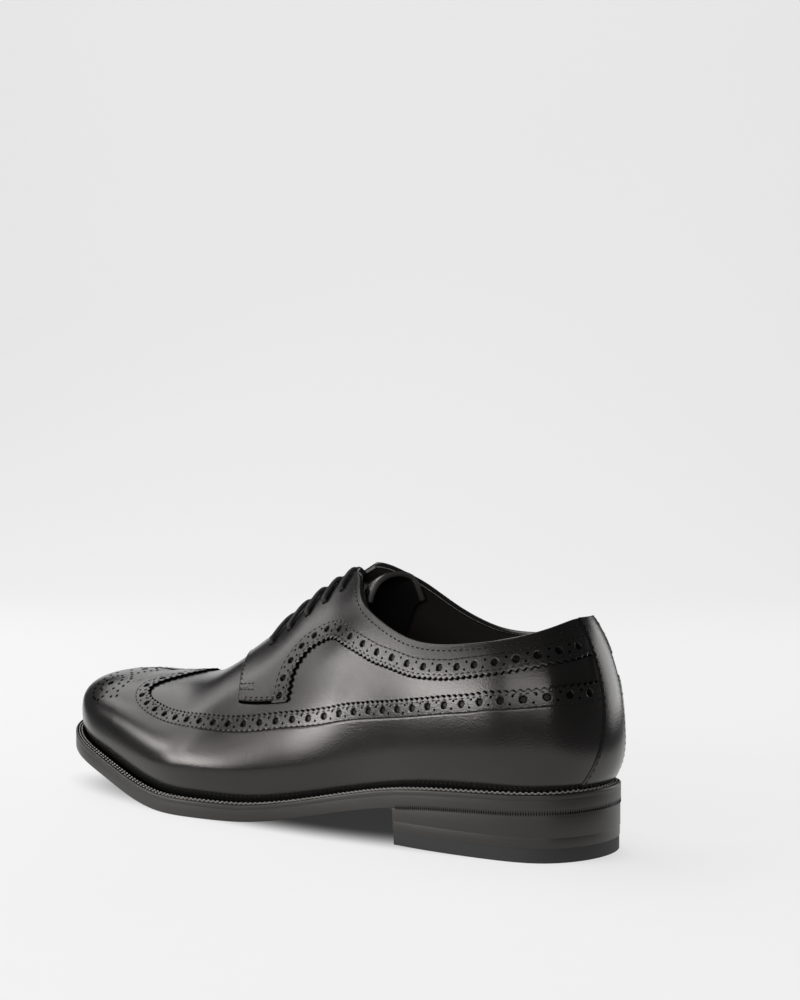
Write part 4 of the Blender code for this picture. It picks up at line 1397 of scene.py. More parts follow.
class DERBY_OT_wing(bpy.types.Operator):
    """The long wing: body, pinked band with punched holes and toe medallion"""

    bl_idname = "derby.wing"
    bl_label = "Wing"

    # band: width, line of its large holes, pins beside that line and their step along it, how
    # far its teeth stand out, its stitch rows, and the body's lap under it
    WIDTH = 7.4
    MIDDLE = 3.9
    SPREAD = 1.5
    SLANT = 0.6
    TOOTH_OUT = 1.0
    STITCHED = (1.75, WIDTH - 0.3)
    LAP = 0.5

    # first hole from the back, distance kept free at the peak, stretch there without teeth
    FIRST_HOLE = 6.56
    LAST_FREE = 3.0
    PLAIN_PEAK = 9.0

    # band's step along and lines across; body's columns up to the toe's curl and round it,
    # row of the wing's table where the curl starts, rows, and every so many for the underside
    STEP = 0.26
    LINES = 27
    SIDE_COLUMNS = 130
    CURL_COLUMNS = 125
    CURL_FROM = 18
    ROWS = 65
    UNDER_EVERY = 8

    # body's face below the last, its edge under the band, and the medallion's dots above it
    FACE = -0.06
    EDGE = -0.35
    DOTS = 0.05

    def execute(self, context):
        sizes = context.scene.derby_sizes
        rows = []
        sides = []
        pins = []
        for side in (1, -1):
            wing = Wing(side)
            sides.append(self.body_side(wing))
            rows += self.band(context, wing, sizes, pins)
        pattern = np.concatenate([sides[0], sides[1][-2::-1]])
        height = np.full(pattern.shape[:2], self.FACE)
        height[:, -1] = self.EDGE
        top = off_last(pattern, height)
        under = off_last(pattern[:, ::self.UNDER_EVERY], UNDER_OVERLAY)
        for face in (top, under):
            face[:, 0, 2] = sole_top(face[:, 0, 0])
        rings = np.concatenate([top, under[:, ::-1]], axis=1)
        piece = add_tube("wing_body", rings, [calf(context)])
        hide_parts("wing")
        sew_upper("wing", rows, context)
        spots, radius = self.medallion()
        punch("toe_medallion", spots, radius, self.DOTS)
        punch("wing_pins", np.concatenate(pins), sizes.pin_radius / MM)
        return {"FINISHED"}

    def body_side(self, wing):
        """Lines from the sole seam to just under the band, closer together at the toe."""
        curl = wing.run[self.CURL_FROM]
        at = np.concatenate([np.linspace(wing.run[0], curl, self.SIDE_COLUMNS)[:-1],
                             np.linspace(curl, wing.run[-1], self.CURL_COLUMNS)])
        line = wing.own_half(inset_line(wing.edge(at), self.WIDTH - self.LAP, wing.side))
        line[-1, 1] = peak_lean(line[-1] * (1.0, 0.0))[1]
        lines = sheet(wing.foot(at), line, np.linspace(0, 1, self.ROWS))
        return beside_stay(lines, wing.side)

    @staticmethod
    def medallion():
        """Spots and radii of the toe medallion, the outer half mirrored to the inner."""
        pins = [(p, q, MEDALLION_PIN) for p, q in MEDALLION_PINS]
        p, q, radius = np.array(MEDALLION_HOLES + tuple(pins)).T
        both = np.concatenate([np.column_stack([p, PEAK_LEAN + q]),
                               np.column_stack([p, PEAK_LEAN - q])[q > 0]])
        return both, np.concatenate([radius, radius[q > 0]])

    def band(self, context, wing, sizes, pins):
        """One side's band: lines inset from its pinked edge, large holes at an even pitch with
        two pins between each pair; gives its stitch rows."""
        side = wing.side
        spots, length, _ = by_length(wing.edge, wing.run[0], wing.run[-1], self.STEP)
        distance = np.linspace(0, self.WIDTH, self.LINES)
        fading = ease((length[-1] - length) / self.PLAIN_PEAK)
        edges = pinked(length, distance, sizes, self.TOOTH_OUT, fading)
        lines = beside_stay(wing.own_half(inset(spots, edges, side)), side)
        run = distance_run(on_last(inset_line(spots, self.MIDDLE, side)))
        places = np.arange(self.FIRST_HOLE, run[-1] - self.LAST_FREE, sizes.hole_pitch / MM)
        rings, shade = band_rings(lines, run, distance, sizes, self.MIDDLE, places)
        name = "wing_band_outer" if side > 0 else "wing_band_inner"
        piece = add_tube(name, rings, [calf(context)], shade=shade)
        for way in (1, -1):
            line = inset_line(spots, self.MIDDLE + way * self.SPREAD, side)
            pins.append(beside_stay(pin_spots(line, run, places[:-1], way * self.SLANT), side))
        rows = []
        for place in self.STITCHED:
            line = inset_line(spots, place, side)
            keep = side * (line[:, 1] - wing.own_half(line)[:, 1]) >= 0
            rows.append(leather_row(beside_stay(line[keep], side), sizes.stitch_pitch / MM))
        return rows


class DERBY_OT_facings(bpy.types.Operator):
    """Both facings with their collar bands, tabs and throat stitching"""

    bl_idname = "derby.facings"
    bl_label = "Facings"

    # band: width, line of its large holes, pins beside that line and their step along it, how
    # far its teeth stand out, its stitch rows, and the body's lap under it
    WIDTH = 8.0
    MIDDLE = 4.5
    SPREAD = 1.5
    SLANT = 0.6
    TOOTH_OUT = 0.5
    STITCHED = (1.5, WIDTH - 0.3)
    LAP = 0.5

    # band's step along and lines across, body's steps along tab and band, its rows from edge
    # to edge, and every so many for the underside
    STEP = 0.26
    LINES = 28
    TAB_STEP = 0.5
    BODY_STEP = 0.9
    ROWS = np.concatenate([[0.0, 0.012, 0.03], np.linspace(0.06, 0.95, 36), [0.975, 0.992, 1.0]])
    UNDER_EVERY = 6

    # body's face below the last and the drop of its free edges; stitch rows from the tab's
    # bottom, from its front with the last spot of each, and from the throat and collar, with
    # the spots that each kind runs over
    FACE = -0.05
    FREE_DROP = 0.25
    TAB_STITCHED = (1.5, 2.6)
    FRONT_STITCHED = ((1.3, None), (2.8, 9))
    TOP_STITCHED = 2.4
    TAB_SPOTS = slice(4, -6)
    FRONT_FROM = 4
    TOP_FROM = 2

    # bar tack: columns, depth of its middle, height and half width of its ridge, angle of the
    # sine left off at its ends, stitch pitch
    TACK_COLUMNS = 24
    TACK_SUNK = -0.1
    TACK_RISE = 0.24
    TACK_HALF = 0.62
    TACK_END = 0.15
    TACK_PITCH = 2.2

    def execute(self, context):
        sizes = context.scene.derby_sizes
        rows = []
        pins = []
        for name, side in (("facing_outer", 1), ("facing_inner", -1)):
            facing = Facing(side)
            rows += self.band(context, facing, sizes, name, pins)
            rows += self.body(context, facing, sizes, name)
            rows += self.bar_tack(context, side, name)
        sew_upper("facings", rows, context)
        punch("facing_pins", np.concatenate(pins), sizes.pin_radius / MM)
        return {"FINISHED"}

    def band(self, context, facing, sizes, name, pins):
        """One facing's band: lines inset from its pinked edge, large holes at their own places
        with two pins between each pair; gives its stitch rows."""
        side = facing.side
        spots, length, _ = by_length(facing.edge, facing.run[0], facing.run[-1], self.STEP)
        distance = np.linspace(0, self.WIDTH, self.LINES)
        edges = pinked(length, distance, sizes, self.TOOTH_OUT)
        lines = beside_stay(facing.band(spots, length, edges), side)
        run = distance_run(on_last(facing.line(spots, length, self.MIDDLE)))
        places = np.array(FACING_HOLES)
        rings, shade = band_rings(lines, run, distance, sizes, self.MIDDLE, places)
        piece = add_tube(name + "_band", rings, [calf(context)], shade=shade)
        for way in (1, -1):
            line = facing.line(spots, length, self.MIDDLE - way * self.SPREAD)
            pins.append(beside_stay(pin_spots(line, run, places, -way * self.SLANT), side))
        rows = []
        for place in self.STITCHED:
            line = beside_stay(facing.line(spots, length, place), side)
            rows.append(leather_row(line, sizes.stitch_pitch / MM))
        return rows

    def body(self, context, facing, sizes, name):
        """Lines from the tab's bottom and the band up to the throat and collar; the tab's cut
        bottom is black, dyed edge and painted shade of its gap.  Gives the stitch rows of tab, front
        and top."""
        side = facing.side
        depth = self.WIDTH - self.LAP
        bottom, bottom_run, bottom_at = by_length(
            facing.tab, facing.tab_run[0], facing.tab_run[-1], self.TAB_STEP)
        keep = bottom_run < bottom_run[-1] - depth
        edge, length, edge_at = by_length(
            facing.edge, facing.run[0], facing.run[-1], self.BODY_STEP)
        lower = np.concatenate([bottom[keep], facing.line(edge, length, depth)])
        top_along = np.concatenate([facing.tab_top(bottom_at[keep]), facing.edge_top(edge_at)])
        spots = beside_stay(sheet(lower, facing_top(top_along, side), self.ROWS), side)
        height = np.full(spots.shape[:2], self.FACE)
        height[:, -1] -= self.FREE_DROP
        height[0] -= self.FREE_DROP
        top = off_last(spots, height)
        under = off_last(spots[:, ::self.UNDER_EVERY], UNDER_OVERLAY)
        rings = np.concatenate([top, under[:, ::-1]], axis=1)
        # black along the tab's bottom and on the underside's walls: dyed cut edge and painted shade
        shade = np.zeros(top.shape[:2])
        shade[:int(keep.sum()), :2] = 1.0
        shade = np.pad(shade, ((0, 0), (0, under.shape[1])), constant_values=1.0)
        piece = add_tube(name + "_body", rings, [calf(context)], shade=shade)
        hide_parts(name)
        pitch = sizes.stitch_pitch / MM
        sewn = []
        for place in self.TAB_STITCHED:
            sewn.append(leather_row(inset_line(bottom, place, side)[self.TAB_SPOTS], pitch))
        for place, last in self.FRONT_STITCHED:
            line = inset_line(spots[0], place, -side)
            sewn.append(leather_row(line[self.FRONT_FROM:last], pitch))
        line = inset_line(spots[self.TOP_FROM:, -1], self.TOP_STITCHED, -side)
        return sewn + [leather_row(line, pitch)]

    def bar_tack(self, context, side, name):
        """Two short rows with a low round ridge between them, swelling as a sine."""
        part = np.linspace(0, 1, self.TACK_COLUMNS)[:, None]
        ends = np.array(BAR_TACK) * (1, side, 1, side)
        lines = [end[:2] * (1 - part) + end[2:] * part for end in ends]
        middle = (lines[0] + lines[1]) / 2
        points = off_last(middle, self.TACK_SUNK)
        normal = outward(middle)
        rise = unit(np.cross(normal, np.gradient(points, axis=0)))
        angle = ring_angles(12)
        turn = np.linspace(self.TACK_END, np.pi - self.TACK_END, len(middle))
        swell = np.sin(turn)[:, None]
        bead(name + "_bar_tack", points, normal * swell, rise, self.TACK_RISE * np.sin(angle),
             self.TACK_HALF * np.cos(angle), calf(context))
        return [leather_row(line, self.TACK_PITCH) for line in lines]


class DERBY_OT_backstay(bpy.types.Operator):
    """The strip up the back of the heel, sewn along both edges"""

    bl_idname = "derby.backstay"
    bl_label = "Backstay"

    # rows up the heel, parts across from edge to edge, every so many for the underside, drop
    # of its edges, and how far in it is sewn
    ROWS = 90
    ACROSS = np.concatenate([[0.0, 0.03], np.linspace(0.07, 0.93, 40), [0.97, 1.0]])
    UNDER_EVERY = 8
    EDGE_DROP = 0.25
    STITCHED = 1.3

    def execute(self, context):
        share = np.linspace(BACKSTAY[0][0], BACKSTAY[-1][0], self.ROWS)
        part = self.ACROSS[:, None]
        outer = STAY_OUTER(share)
        inner = STAY_INNER(share) - STAY_WIDER
        spots = self.spots(share, outer[None] * (1 - part) + inner[None] * part)
        height = np.full(spots.shape[:2], BACKSTAY_PROUD)
        height[[0, -1]] -= self.EDGE_DROP
        top = off_last(spots, height)
        under = off_last(spots[:, ::self.UNDER_EVERY], UNDER_OVERLAY)
        for face in (top, under):
            face[:, 0, 2] = sole_top(face[:, 0, 0])
        rings = np.concatenate([top, under[:, ::-1]], axis=1)
        piece = add_tube("backstay_strip", rings, [calf(context)])
        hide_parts("backstay")
        pitch = context.scene.derby_sizes.stitch_pitch / MM
        rows = [leather_row(self.spots(share, edge), pitch, BACKSTAY_PROUD)
                for edge in (outer - self.STITCHED, inner + self.STITCHED)]
        sew_upper("backstay", rows, context)
        return {"FINISHED"}

    @staticmethod
    def spots(share, round_back):
        """Pattern spots by share and by distance round the back from its middle."""
        side = np.where(round_back < 0, -1, 1)
        return to_pattern(BACK + np.abs(round_back), np.broadcast_to(share, round_back.shape), side)


class DERBY_OT_tongue(bpy.types.Operator):
    """The arched tongue under the throat, with a stitched rim at its top"""

    bl_idname = "derby.tongue"
    bl_label = "Tongue"

    # columns along and parts across; rim's half thickness and half width, how far it sits
    # down; column that is sewn and the share of the width it takes
    COLUMNS = 110
    ACROSS = 61
    RIM_THICK = 1.12
    RIM_WIDE = 1.05
    RIM_DOWN = 0.35
    SEWN = 4
    SEWN_SHARE = 0.96

    def execute(self, context):
        x = np.linspace(TONGUE[0][0], TONGUE[-1][0], self.COLUMNS)
        part = np.linspace(-1, 1, self.ACROSS)
        top = self.surface(x, part, 0.0)
        low = self.surface(x, part, TONGUE_THICK)
        rings = np.concatenate([top, low[:, ::-1]], axis=1)
        piece = add_tube("tongue_leather", rings, [calf(context)], sharp=70.0)
        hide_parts("tongue")
        angle = ring_angles(12)
        rim = tuple(context.scene.derby_finish.rim)
        bead("tongue_rim", (top[0] + low[0]) / 2, unit(top[0] - low[0]), unit(top[0] - top[1]),
             self.RIM_THICK * np.sin(angle), self.RIM_WIDE * np.cos(angle) - self.RIM_DOWN,
             kept(leather, "rim_leather", rim, 0.55, grain=0.2))
        path = self.surface(x[self.SEWN:self.SEWN + 1], part * self.SEWN_SHARE, 0.0)[0]
        down = top[self.SEWN + 2] - top[self.SEWN - 2]
        normal = unit(np.cross(np.gradient(path, axis=0), down))
        normal *= np.sign(normal[:, 2:] + SHORTEST)
        row = StitchRow(path, normal, context.scene.derby_sizes.stitch_pitch / MM)
        sew_upper("tongue", [row], context)
        return {"FINISHED"}

    @staticmethod
    def surface(x, part, sink):
        """The last's arch dropped below its ridge; it opens into a slanted round arch at its
        free end and is held between the walls."""
        drop = column(TONGUE, 1)(x)[:, None]
        full = column(TONGUE, 2)(x)[:, None]
        x, part = np.broadcast_arrays(x[:, None], part[None, :])
        side = np.where(part < 0, -1.0, 1.0)
        axis = LAST_AT["axis"](x)
        ridge = LAST_AT["ridge"](x) - drop - sink * TONGUE_SLOPE
        wide = seam_reach(x, side) + by_side("swell", x, side)
        narrow = (wide - TONGUE_DRAW - sink) / wide
        cosine = np.clip(np.abs(part) * TONGUE_HALF / (wide * narrow), 0, 1) ** (1 / full)
        share = TUCK_SHARE + (1 - TUCK_SHARE) * np.arccos(cosine) / (np.pi / 2)
        spot = last_point(x, share, side, ridge, np.broadcast_to(full, x.shape))
        spot[..., 1] = axis + (spot[..., 1] - axis) * narrow
        free = ease((TONGUE_FREE_FROM - x) / (TONGUE_FREE_FROM - TONGUE_FREE_AT))
        radius = TONGUE_FREE_RADIUS - sink
        turn = part * TONGUE_FREE_TURN
        arch = np.stack([x, axis + radius * np.sin(turn), ridge - radius * (1 - np.cos(turn))], -1)
        spot += (arch - spot) * free[..., None]
        spot[..., 0] += TONGUE_SLANT * (spot[..., 1] - axis) * free
        room = wall_room(spot[..., 0], spot[..., 2], side) - sink
        held = axis + np.clip(spot[..., 1] - axis, -room, room)
        spot[..., 1] += (held - spot[..., 1]) * np.clip(free * TONGUE_HELD, 0, 1)
        return spot


def eyelet_place(index):
    """Station and share of an eyelet, the first nearest the toe."""
    return EYELET_FIRST - EYELET_STEP * index, EYELET_SHARE + EYELET_SHARE_STEP * index


class DERBY_OT_lace(bpy.types.Operator):
    """The waxed lace in straight bars, down through the punched eyelets"""

    bl_idname = "derby.lace"
    bl_label = "Lace"

    # cord: columns, points round it, its section's width and height as parts of the radius
    COLUMNS = 90
    AROUND = 16
    FLATTENED = (1.12, 0.92)

    # how much smaller the dot of painted shade is than its eyelet
    RING_IN = 0.3

    def execute(self, context):
        finish = context.scene.derby_finish
        radius = context.scene.derby_sizes.lace_radius / MM
        cord = kept(cord_finish, "waxed_lace", tuple(finish.lace), 420.0)
        part, height = np.array(LACE_BAR).T
        for index in range(EYELETS):
            station_x, first = eyelet_place(index)
            along = np.full(len(part), station_x)
            share = first + (1 - first) * part
            halves = []
            for side in (1, -1):
                spots = to_pattern(along, share, side)
                halves.append(on_last(spots) + outward(spots) * height[:, None])
            knots = np.concatenate([halves[0], halves[1][-2::-1]])
            piece = self.cord(index, knots, radius, cord)
            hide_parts("lace_bar_%d" % (index + 1))
        self.eyelets()
        return {"FINISHED"}

    def cord(self, index, knots, radius, surface):
        """A slightly flattened circle carried along a cubic through the knots."""
        run = distance_run(knots)
        at = np.linspace(0, run[-1], self.COLUMNS)
        path = np.stack([spline(run, knots[:, i])(at) for i in range(3)], -1)
        ahead = unit(np.gradient(path, axis=0))
        flat = unit(np.array([1.0, 0.0, 0.0]) - ahead * ahead[:, :1])
        other = np.cross(ahead, flat)
        angle = ring_angles(self.AROUND)[None, :, None]
        width, height = self.FLATTENED
        rings = path[:, None] + radius * (width * np.cos(angle) * flat[:, None]
                                          + height * np.sin(angle) * other[:, None])
        return add_tube("lace_strand_%d" % (index + 1), rings, [surface], sharp=SHARP_ROUND)

    def eyelets(self):
        """A dot of painted shade in each punched eyelet, lying on the facing."""
        spots = np.array([to_pattern(*eyelet_place(index), side)
                          for side in (1, -1) for index in range(EYELETS)])
        punch("eyelet_holes", spots, EYELET_RADIUS - self.RING_IN)


def side_stations(count):
    """Stations from the back to the toe, closer together where the sole turns."""
    return BACK + (TIP - BACK) * (1 - np.cos(np.linspace(0, np.pi, count))) / 2


def round_the_sole(count, inward):
    """A closed plan path round the sole, a distance in from its edge."""
    along = side_stations(count)
    paths = []
    for side, stations in ((1, along), (-1, along[::-1])):
        centre_x, centre_y, out_x, out_y = station(stations, side)
        distance = reach(stations, side) - inward
        paths.append(np.column_stack([centre_x + out_x * distance, centre_y + out_y * distance]))
    return np.concatenate([paths[0], paths[1][1:-1]])


def inward_of(path):
    """Level direction square to a closed plan path, towards its inside."""
    ahead = unit(np.roll(path, -1, axis=0) - np.roll(path, 1, axis=0))
    return np.column_stack([ahead[:, 1], -ahead[:, 0]])


def rounded_wall(path, inward, low, high, rounds, steps, inner_low, inner_high):
    """A wall round a closed path, with a quarter circle at its lower and its upper corner, and
    faces that run in to an inner line below and above."""
    turn = np.linspace(0, np.pi / 2, steps)
    sideways, upright = 1 - np.sin(turn), 1 - np.cos(turn)
    out = np.concatenate([rounds[0] * sideways, rounds[1] * sideways[::-1]])
    up = np.concatenate([rounds[0] * upright, -rounds[1] * upright[::-1]])
    plan = path[:, None] + inward[:, None] * out[None, :, None]
    level = np.repeat(np.column_stack([low, high]), steps, axis=1) + up[None]
    wall = np.concatenate([plan, level[..., None]], -1)
    return np.concatenate([inner_low[:, None], wall, inner_high[:, None]], axis=1)


class DERBY_OT_sole(bpy.types.Operator):
    """Outsole and welt with rounded edges, and the stitching on the welt"""

    bl_idname = "derby.sole"
    bl_label = "Sole"

    # stations a side of outsole and welt, and points of a rounded corner
    OUTSOLE_STATIONS = 240
    WELT_STATIONS = 260
    CORNER_STEPS = 6

    # rounding below and above of outsole and welt; ends of the outsole's middle line measured
    # in from heel and toe; width of the welt
    OUTSOLE_ROUNDS = (0.45, 0.10)
    WELT_ROUNDS = (0.08, 0.75)
    MIDDLE_FROM_HEEL = 20.0
    MIDDLE_FROM_TOE = 26.0
    WELT_WIDTH = 9.0

    # welt's channel, black with painted shade: distance in from the edge, depth; its stitch rows:
    # distance in, rise; a stitch's length, width and height, and half width of its slot of painted
    # shade
    CHANNEL = ((1.0, -0.02), (1.3, -0.45), (3.2, -0.40), (4.6, -0.1))
    STITCHED = ((1.75, 0.05), (3.0, 0.3))
    STITCH = (1.7, 0.8, 0.4, 0.2)

    def execute(self, context):
        finish = context.scene.derby_finish
        edge = kept(stained_edge, "stained_sole_edge", tuple(finish.sole_edge), 0.42, 6.0)
        self.outsole(edge)
        self.welt(kept(stained_edge, "stained_welt", tuple(finish.sole_edge), 0.40, 6.0))
        self.stitching(context)
        return {"FINISHED"}

    def outsole(self, surface):
        """A rounded wall whose faces run in to the shoe's middle line."""
        path = round_the_sole(self.OUTSOLE_STATIONS, 0.0)
        low = underside(path[:, 0])
        x = np.clip(path[:, 0], self.MIDDLE_FROM_HEEL, SHOE_LENGTH - self.MIDDLE_FROM_TOE)
        middle = np.column_stack([x, LAST_AT["axis"](x), underside(x)])
        rings = rounded_wall(path, inward_of(path), low, low + OUTSOLE, self.OUTSOLE_ROUNDS,
                             self.CORNER_STEPS, middle, middle + (0.0, 0.0, OUTSOLE))
        piece = add_tube("outsole_leather", rings, [surface], closed=True, sharp=60.0)
        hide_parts("outsole")

    def welt(self, surface):
        """A strip round the sole with a rounded lip and a stitch channel behind it, painted matte
        black as shade.
        """
        path = round_the_sole(self.WELT_STATIONS, 0.0)
        inward = inward_of(path)
        low = underside(path[:, 0]) + OUTSOLE
        high = low + WELT + SEAT_GAP
        near = path + inward * self.WELT_WIDTH
        rings = rounded_wall(path, inward, low, high, self.WELT_ROUNDS, self.CORNER_STEPS,
                             np.column_stack([near, low]), np.column_stack([near, high]))
        channel = [np.column_stack([path + inward * place, high + sink])
                   for place, sink in self.CHANNEL]
        rings = np.concatenate([rings[:, :-1], np.stack(channel, axis=1), rings[:, -1:]], axis=1)
        # the channel's faces take the matte black of painted shade
        slots = np.zeros(rings.shape[1], int)
        slots[-len(channel) - 2:-1] = 1
        piece = add_tube("welt_strip", rings, [surface, kept(painted_shade_finish, "needle_hole")],
                         closed=True, around_slots=slots, sharp=50.0)
        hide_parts("welt")

    def stitching(self, context):
        """Two rows of heavy stitches in the welt's channel."""
        pitch = context.scene.derby_sizes.welt_pitch / MM
        rows = []
        for place, rise in self.STITCHED:
            path = round_the_sole(self.WELT_STATIONS, place)
            path = np.concatenate([path, path[:1]])
            rows.append(plan_row(np.column_stack([path, sole_top(path[:, 0]) + rise]), pitch))
        colour = tuple(context.scene.derby_finish.welt_thread)
        sew("welt", rows, kept(cord_finish, "welt_thread", colour, THREAD_TWIST), *self.STITCH)


class DERBY_OT_heel(bpy.types.Operator):
    """Stacked heel: rubber top piece, lifts and the wheel marks above them"""

    bl_idname = "derby.heel"
    bl_label = "Heel"

    # heel's centre in plan, points of half its outline and of its breast, rounding and points
    # of its corners, ends of the middle line where its faces meet
    CENTRE = np.array([HEEL_X, 0.0])
    HALF_COUNT = 110
    BREAST_COUNT = 30
    ROUND = 0.06
    CORNER_STEPS = 4
    MIDDLE = (4.0, 76.0)

    # wheel marks of painted shade: height over the heel, rise off its wall, half width, length in
    # half widths
    MARK_UP = 0.2
    MARK_RISE = 0.02
    MARK_HALF = 0.18
    MARK_DRAWN = 6.0

    def execute(self, context):
        finish = context.scene.derby_finish
        stacked = kept(stained_edge, "stained_heel", tuple(finish.sole_edge), 0.40, 14.0)
        rubber = kept(plain_rubber, "heel_rubber", tuple(finish.rubber))
        levels = (
            ("heel_top_piece", 0.0, TOP_PIECE, rubber, "heel_rubber"),
            ("heel_lift", TOP_PIECE, TOP_PIECE + SEAT_GAP + LIFT, stacked, "heel_leather"),
            ("heel_seat_lift", TOP_PIECE + SEAT_GAP + LIFT, None, stacked, "heel_leather"),
        )
        for name, low, high, surface, slot in levels:
            path = self.outline(HEEL_TAPER * (underside(HEEL_BREAST) - low))
            bottom = np.full(len(path), low)
            top = underside(path[:, 0]) if high is None else np.full(len(path), high)
            middle = np.column_stack([path[:, 0].clip(*self.MIDDLE), np.zeros(len(path))])
            rings = rounded_wall(path, unit(self.CENTRE - path), bottom, top,
                                 (self.ROUND, self.ROUND), self.CORNER_STEPS,
                                 np.column_stack([middle, bottom]), np.column_stack([middle, top]))
            piece = add_tube(name + "_block", rings, [surface], closed=True, sharp=50.0)
            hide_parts(name)
        self.wheel_marks(context)
        return {"FINISHED"}

    def outline(self, draw):
        """The heel's plan, drawn in to its centre by a share: the sole's edge back from the
        breast and forward again, and the breast across."""
        turn = np.linspace(edge_turn(HEEL_BREAST), 0.0, self.HALF_COUNT)
        x = SHOE_LENGTH / 2 * (1 - np.cos(turn))
        inner = np.column_stack([x, EDGE_INNER(turn)])
        outer = np.column_stack([x, EDGE_OUTER(turn)])[::-1]
        across = np.linspace(0, 1, self.BREAST_COUNT)[1:-1, None]
        breast = outer[-1] * (1 - across) + inner[0] * across
        path = np.concatenate([inner, outer[1:], breast])
        return self.CENTRE + (path - self.CENTRE) * (1 - draw)

    def wheel_marks(self, context):
        """Small upright slots of painted shade round the heel just under the outsole."""
        path = self.outline(0.0)[:2 * self.HALF_COUNT - 2]
        path = np.column_stack([path, underside(path[:, 0]) + self.MARK_UP])
        run = distance_run(path)
        pitch = context.scene.derby_sizes.wheel_pitch / MM
        at = np.arange(pitch, run[-1] - pitch, pitch)
        places = read_along(at, run, path)
        ahead = unit(read_along(at, run, np.gradient(path, axis=0)))
        normals = unit(np.cross(ahead, (0.0, 0.0, 1.0)))
        normals *= np.sign((normals * (places - (HEEL_X, 0.0, 0.0))).sum(-1))[:, None]
        up = np.tile([0.0, 0.0, 1.0], (len(places), 1))
        points, faces = scatter(places + self.MARK_RISE * normals, up, normals,
                                disc_template(self.MARK_DRAWN), self.MARK_HALF)
        piece = add_piece("heel_wheel_marks", points, faces, [kept(painted_shade_finish, "needle_hole")],
                          sharp=SHARP_DOT)


class DERBY_OT_insole(bpy.types.Operator):
    """The insole keeps its solid and takes the lining's finish"""

    bl_idname = "derby.insole"
    bl_label = "Insole"

    def execute(self, context):
        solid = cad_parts["insole"]
        solid.data.materials.clear()
        solid.data.materials.append(lining_leather(context))
        return {"FINISHED"}


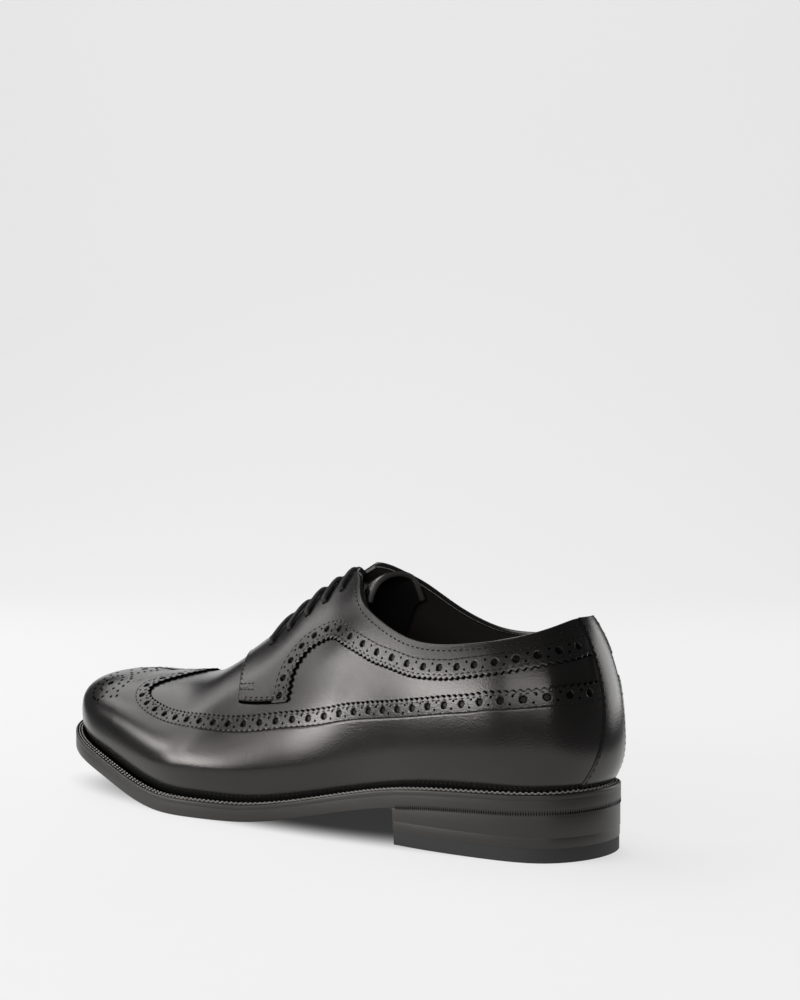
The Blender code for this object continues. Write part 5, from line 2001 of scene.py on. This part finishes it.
class DERBY_OT_stage(bpy.types.Operator):
    """Pale floor running up into a backdrop, soft lights and the camera"""

    bl_idname = "derby.stage"
    bl_label = "Stage"

    def execute(self, context):
        stage = context.scene.derby_stage
        context.scene.view_settings.view_transform = "Standard"
        self.floor(context, stage)
        self.lights(context, stage)
        self.camera(context, stage)
        return {"FINISHED"}

    def floor(self, context, stage):
        """A strip that lies flat, then bends up behind the shoe in a quarter circle."""
        ahead = np.array([math.sin(stage.camera_turn), -math.cos(stage.camera_turn)])
        right = np.array([ahead[1], -ahead[0]])
        turn = np.linspace(0, np.pi / 2, 24)
        out = np.concatenate([[FLOOR_NEAR, 0.0], BEND_AT + BEND_RADIUS * np.sin(turn),
                              [BEND_AT + BEND_RADIUS]])
        up = np.concatenate([[0.0, 0.0], BEND_RADIUS * (1 - np.cos(turn)), [BACKDROP_TOP]])
        across = np.linspace(-FLOOR_HALF, FLOOR_HALF, 9)
        plan = out[:, None, None] * ahead + across[None, :, None] * right
        points = np.concatenate([plan, np.repeat(up[:, None, None], len(across), axis=1)], -1)
        corner = np.arange(points[..., 0].size).reshape(points.shape[:2])
        faces = np.stack([corner[:-1, :-1], corner[:-1, 1:], corner[1:, 1:], corner[1:, :-1]], -1)
        mesh = bpy.data.meshes.new("studio_floor")
        mesh.from_pydata(points.reshape(-1, 3).tolist(), [], faces.reshape(-1, 4).tolist())
        mesh.polygons.foreach_set("use_smooth", np.ones(len(mesh.polygons), bool))
        floor = bpy.data.objects.new("studio_floor", mesh)
        context.scene.collection.objects.link(floor)
        finish = Finish("studio_paper")
        specks = finish.noise(60.0, 2.0)
        tone = finish.blend(specks, deeper(stage.floor, 0.99), tuple(stage.floor))
        dark = deeper(stage.floor, BESIDE_TONE)
        tone = finish.blend(self.beside(finish, ahead, right), tone, dark)
        # a painted shadow under the shoe
        tone = finish.blend(self.clear(finish), deeper(stage.floor, SHADE_TONE), tone)
        mesh.materials.append(finish.shine({
            "Base Color": tone, "Roughness": 0.8, "Specular IOR Level": 0.0,
            "Emission Color": tone, "Emission Strength": stage.floor_glow}))

    def beside(self, finish, ahead, right):
        """0 in the wedge the camera sees, 1 well outside it, where the paper falls dark."""
        aside = finish.node("ShaderNodeMath", {"operation": "ABSOLUTE"},
                            {0: finish.along(right) - CAMERA_ASIDE})
        return finish.ramp(aside / (finish.along(ahead) + CAMERA_AWAY), *DARK_BESIDE)

    def clear(self, finish):
        """0 under the shoe, 1 clear of it: a soft ellipse about its length, where a shadow is
        painted.
        """
        lengthwise, across = finish.along((1.0, 0.0)), finish.along((0.0, 1.0))
        return finish.ramp(lengthwise * lengthwise * SHADE_LENGTH ** -2
                           + across * across * SHADE_WIDTH ** -2, *SHADE_EDGE)

    def lights(self, context, stage):
        """Even light of the room, and softboxes that face the shoe from their directions."""
        world = bpy.data.worlds.new("studio_room")
        world.use_nodes = True
        sky = world.node_tree.nodes["Background"]
        sky.inputs["Color"].default_value = (1.0, 1.0, 1.0, 1.0)
        sky.inputs["Strength"].default_value = stage.sky
        context.scene.world = world
        for name, turn, rise, far, width, height, power in SOFTBOXES:
            turn, rise = math.radians(turn), math.radians(rise)
            place = Vector((math.cos(turn) * math.cos(rise), math.sin(turn) * math.cos(rise),
                            math.sin(rise))) * far
            self.softbox(context, name, place, width, height, power * stage.light)

    @staticmethod
    def softbox(context, name, place, width, height, power):
        """An oblong light at a place, turned to the shoe."""
        light = bpy.data.lights.new(name, "AREA")
        light.shape = "RECTANGLE"
        light.size = width
        light.size_y = height
        light.energy = power
        lamp = bpy.data.objects.new(name, light)
        lamp.location = place
        lamp.rotation_mode = "QUATERNION"
        lamp.rotation_quaternion = (-place).to_track_quat("-Z", "Y")
        context.scene.collection.objects.link(lamp)

    def camera(self, context, stage):
        """The camera, turned from the shoe's side and tilted down."""
        view = bpy.data.cameras.new("photo_view")
        view.sensor_fit = "AUTO"
        view.sensor_width = 36.0
        view.lens = stage.lens
        view.clip_start = 0.01
        eye = bpy.data.objects.new("photo_view", view)
        eye.location = stage.camera_place
        ahead = Vector((math.sin(stage.camera_turn) * math.cos(stage.camera_tilt),
                        -math.cos(stage.camera_turn) * math.cos(stage.camera_tilt),
                        -math.sin(stage.camera_tilt)))
        eye.rotation_mode = "QUATERNION"
        eye.rotation_quaternion = ahead.to_track_quat("-Z", "Y")
        context.scene.collection.objects.link(eye)
        context.scene.camera = eye


class DERBY_PT_sidebar(bpy.types.Panel):
    """Sizes, finishes and the steps that dress the shoe"""

    bl_idname = "DERBY_PT_sidebar"
    bl_label = "Full brogue derby"
    bl_space_type = "VIEW_3D"
    bl_region_type = "UI"
    bl_category = "Derby"

    def draw(self, context):
        scene = context.scene
        for group in (scene.derby_sizes, scene.derby_finish, scene.derby_stage):
            box = self.layout.box()
            for title in group.__annotations__:
                box.prop(group, title)
        for step in STEPS:
            self.layout.operator(step.bl_idname)


GROUPS = (DerbySizes, DerbyFinish, DerbyStage)
STEPS = (
    DERBY_OT_stage, DERBY_OT_lace, DERBY_OT_sole, DERBY_OT_heel, DERBY_OT_insole, DERBY_OT_upper,
    DERBY_OT_wing, DERBY_OT_facings, DERBY_OT_backstay, DERBY_OT_tongue,
)


def register():
    """Makes the groups, steps and panel known, and hangs the groups on the scene."""
    for part in GROUPS + STEPS + (DERBY_PT_sidebar,):
        bpy.utils.register_class(part)
    bpy.types.Scene.derby_sizes = bpy.props.PointerProperty(type=DerbySizes)
    bpy.types.Scene.derby_finish = bpy.props.PointerProperty(type=DerbyFinish)
    bpy.types.Scene.derby_stage = bpy.props.PointerProperty(type=DerbyStage)


def unregister():
    """Takes it all back."""
    del bpy.types.Scene.derby_stage
    del bpy.types.Scene.derby_finish
    del bpy.types.Scene.derby_sizes
    for part in reversed(GROUPS + STEPS + (DERBY_PT_sidebar,)):
        bpy.utils.unregister_class(part)


def main():
    """Dresses the shoe step by step."""
    register()
    for step in STEPS:
        getattr(bpy.ops.derby, step.bl_idname.split(".")[1])()


if __name__ == "__main__":
    main()
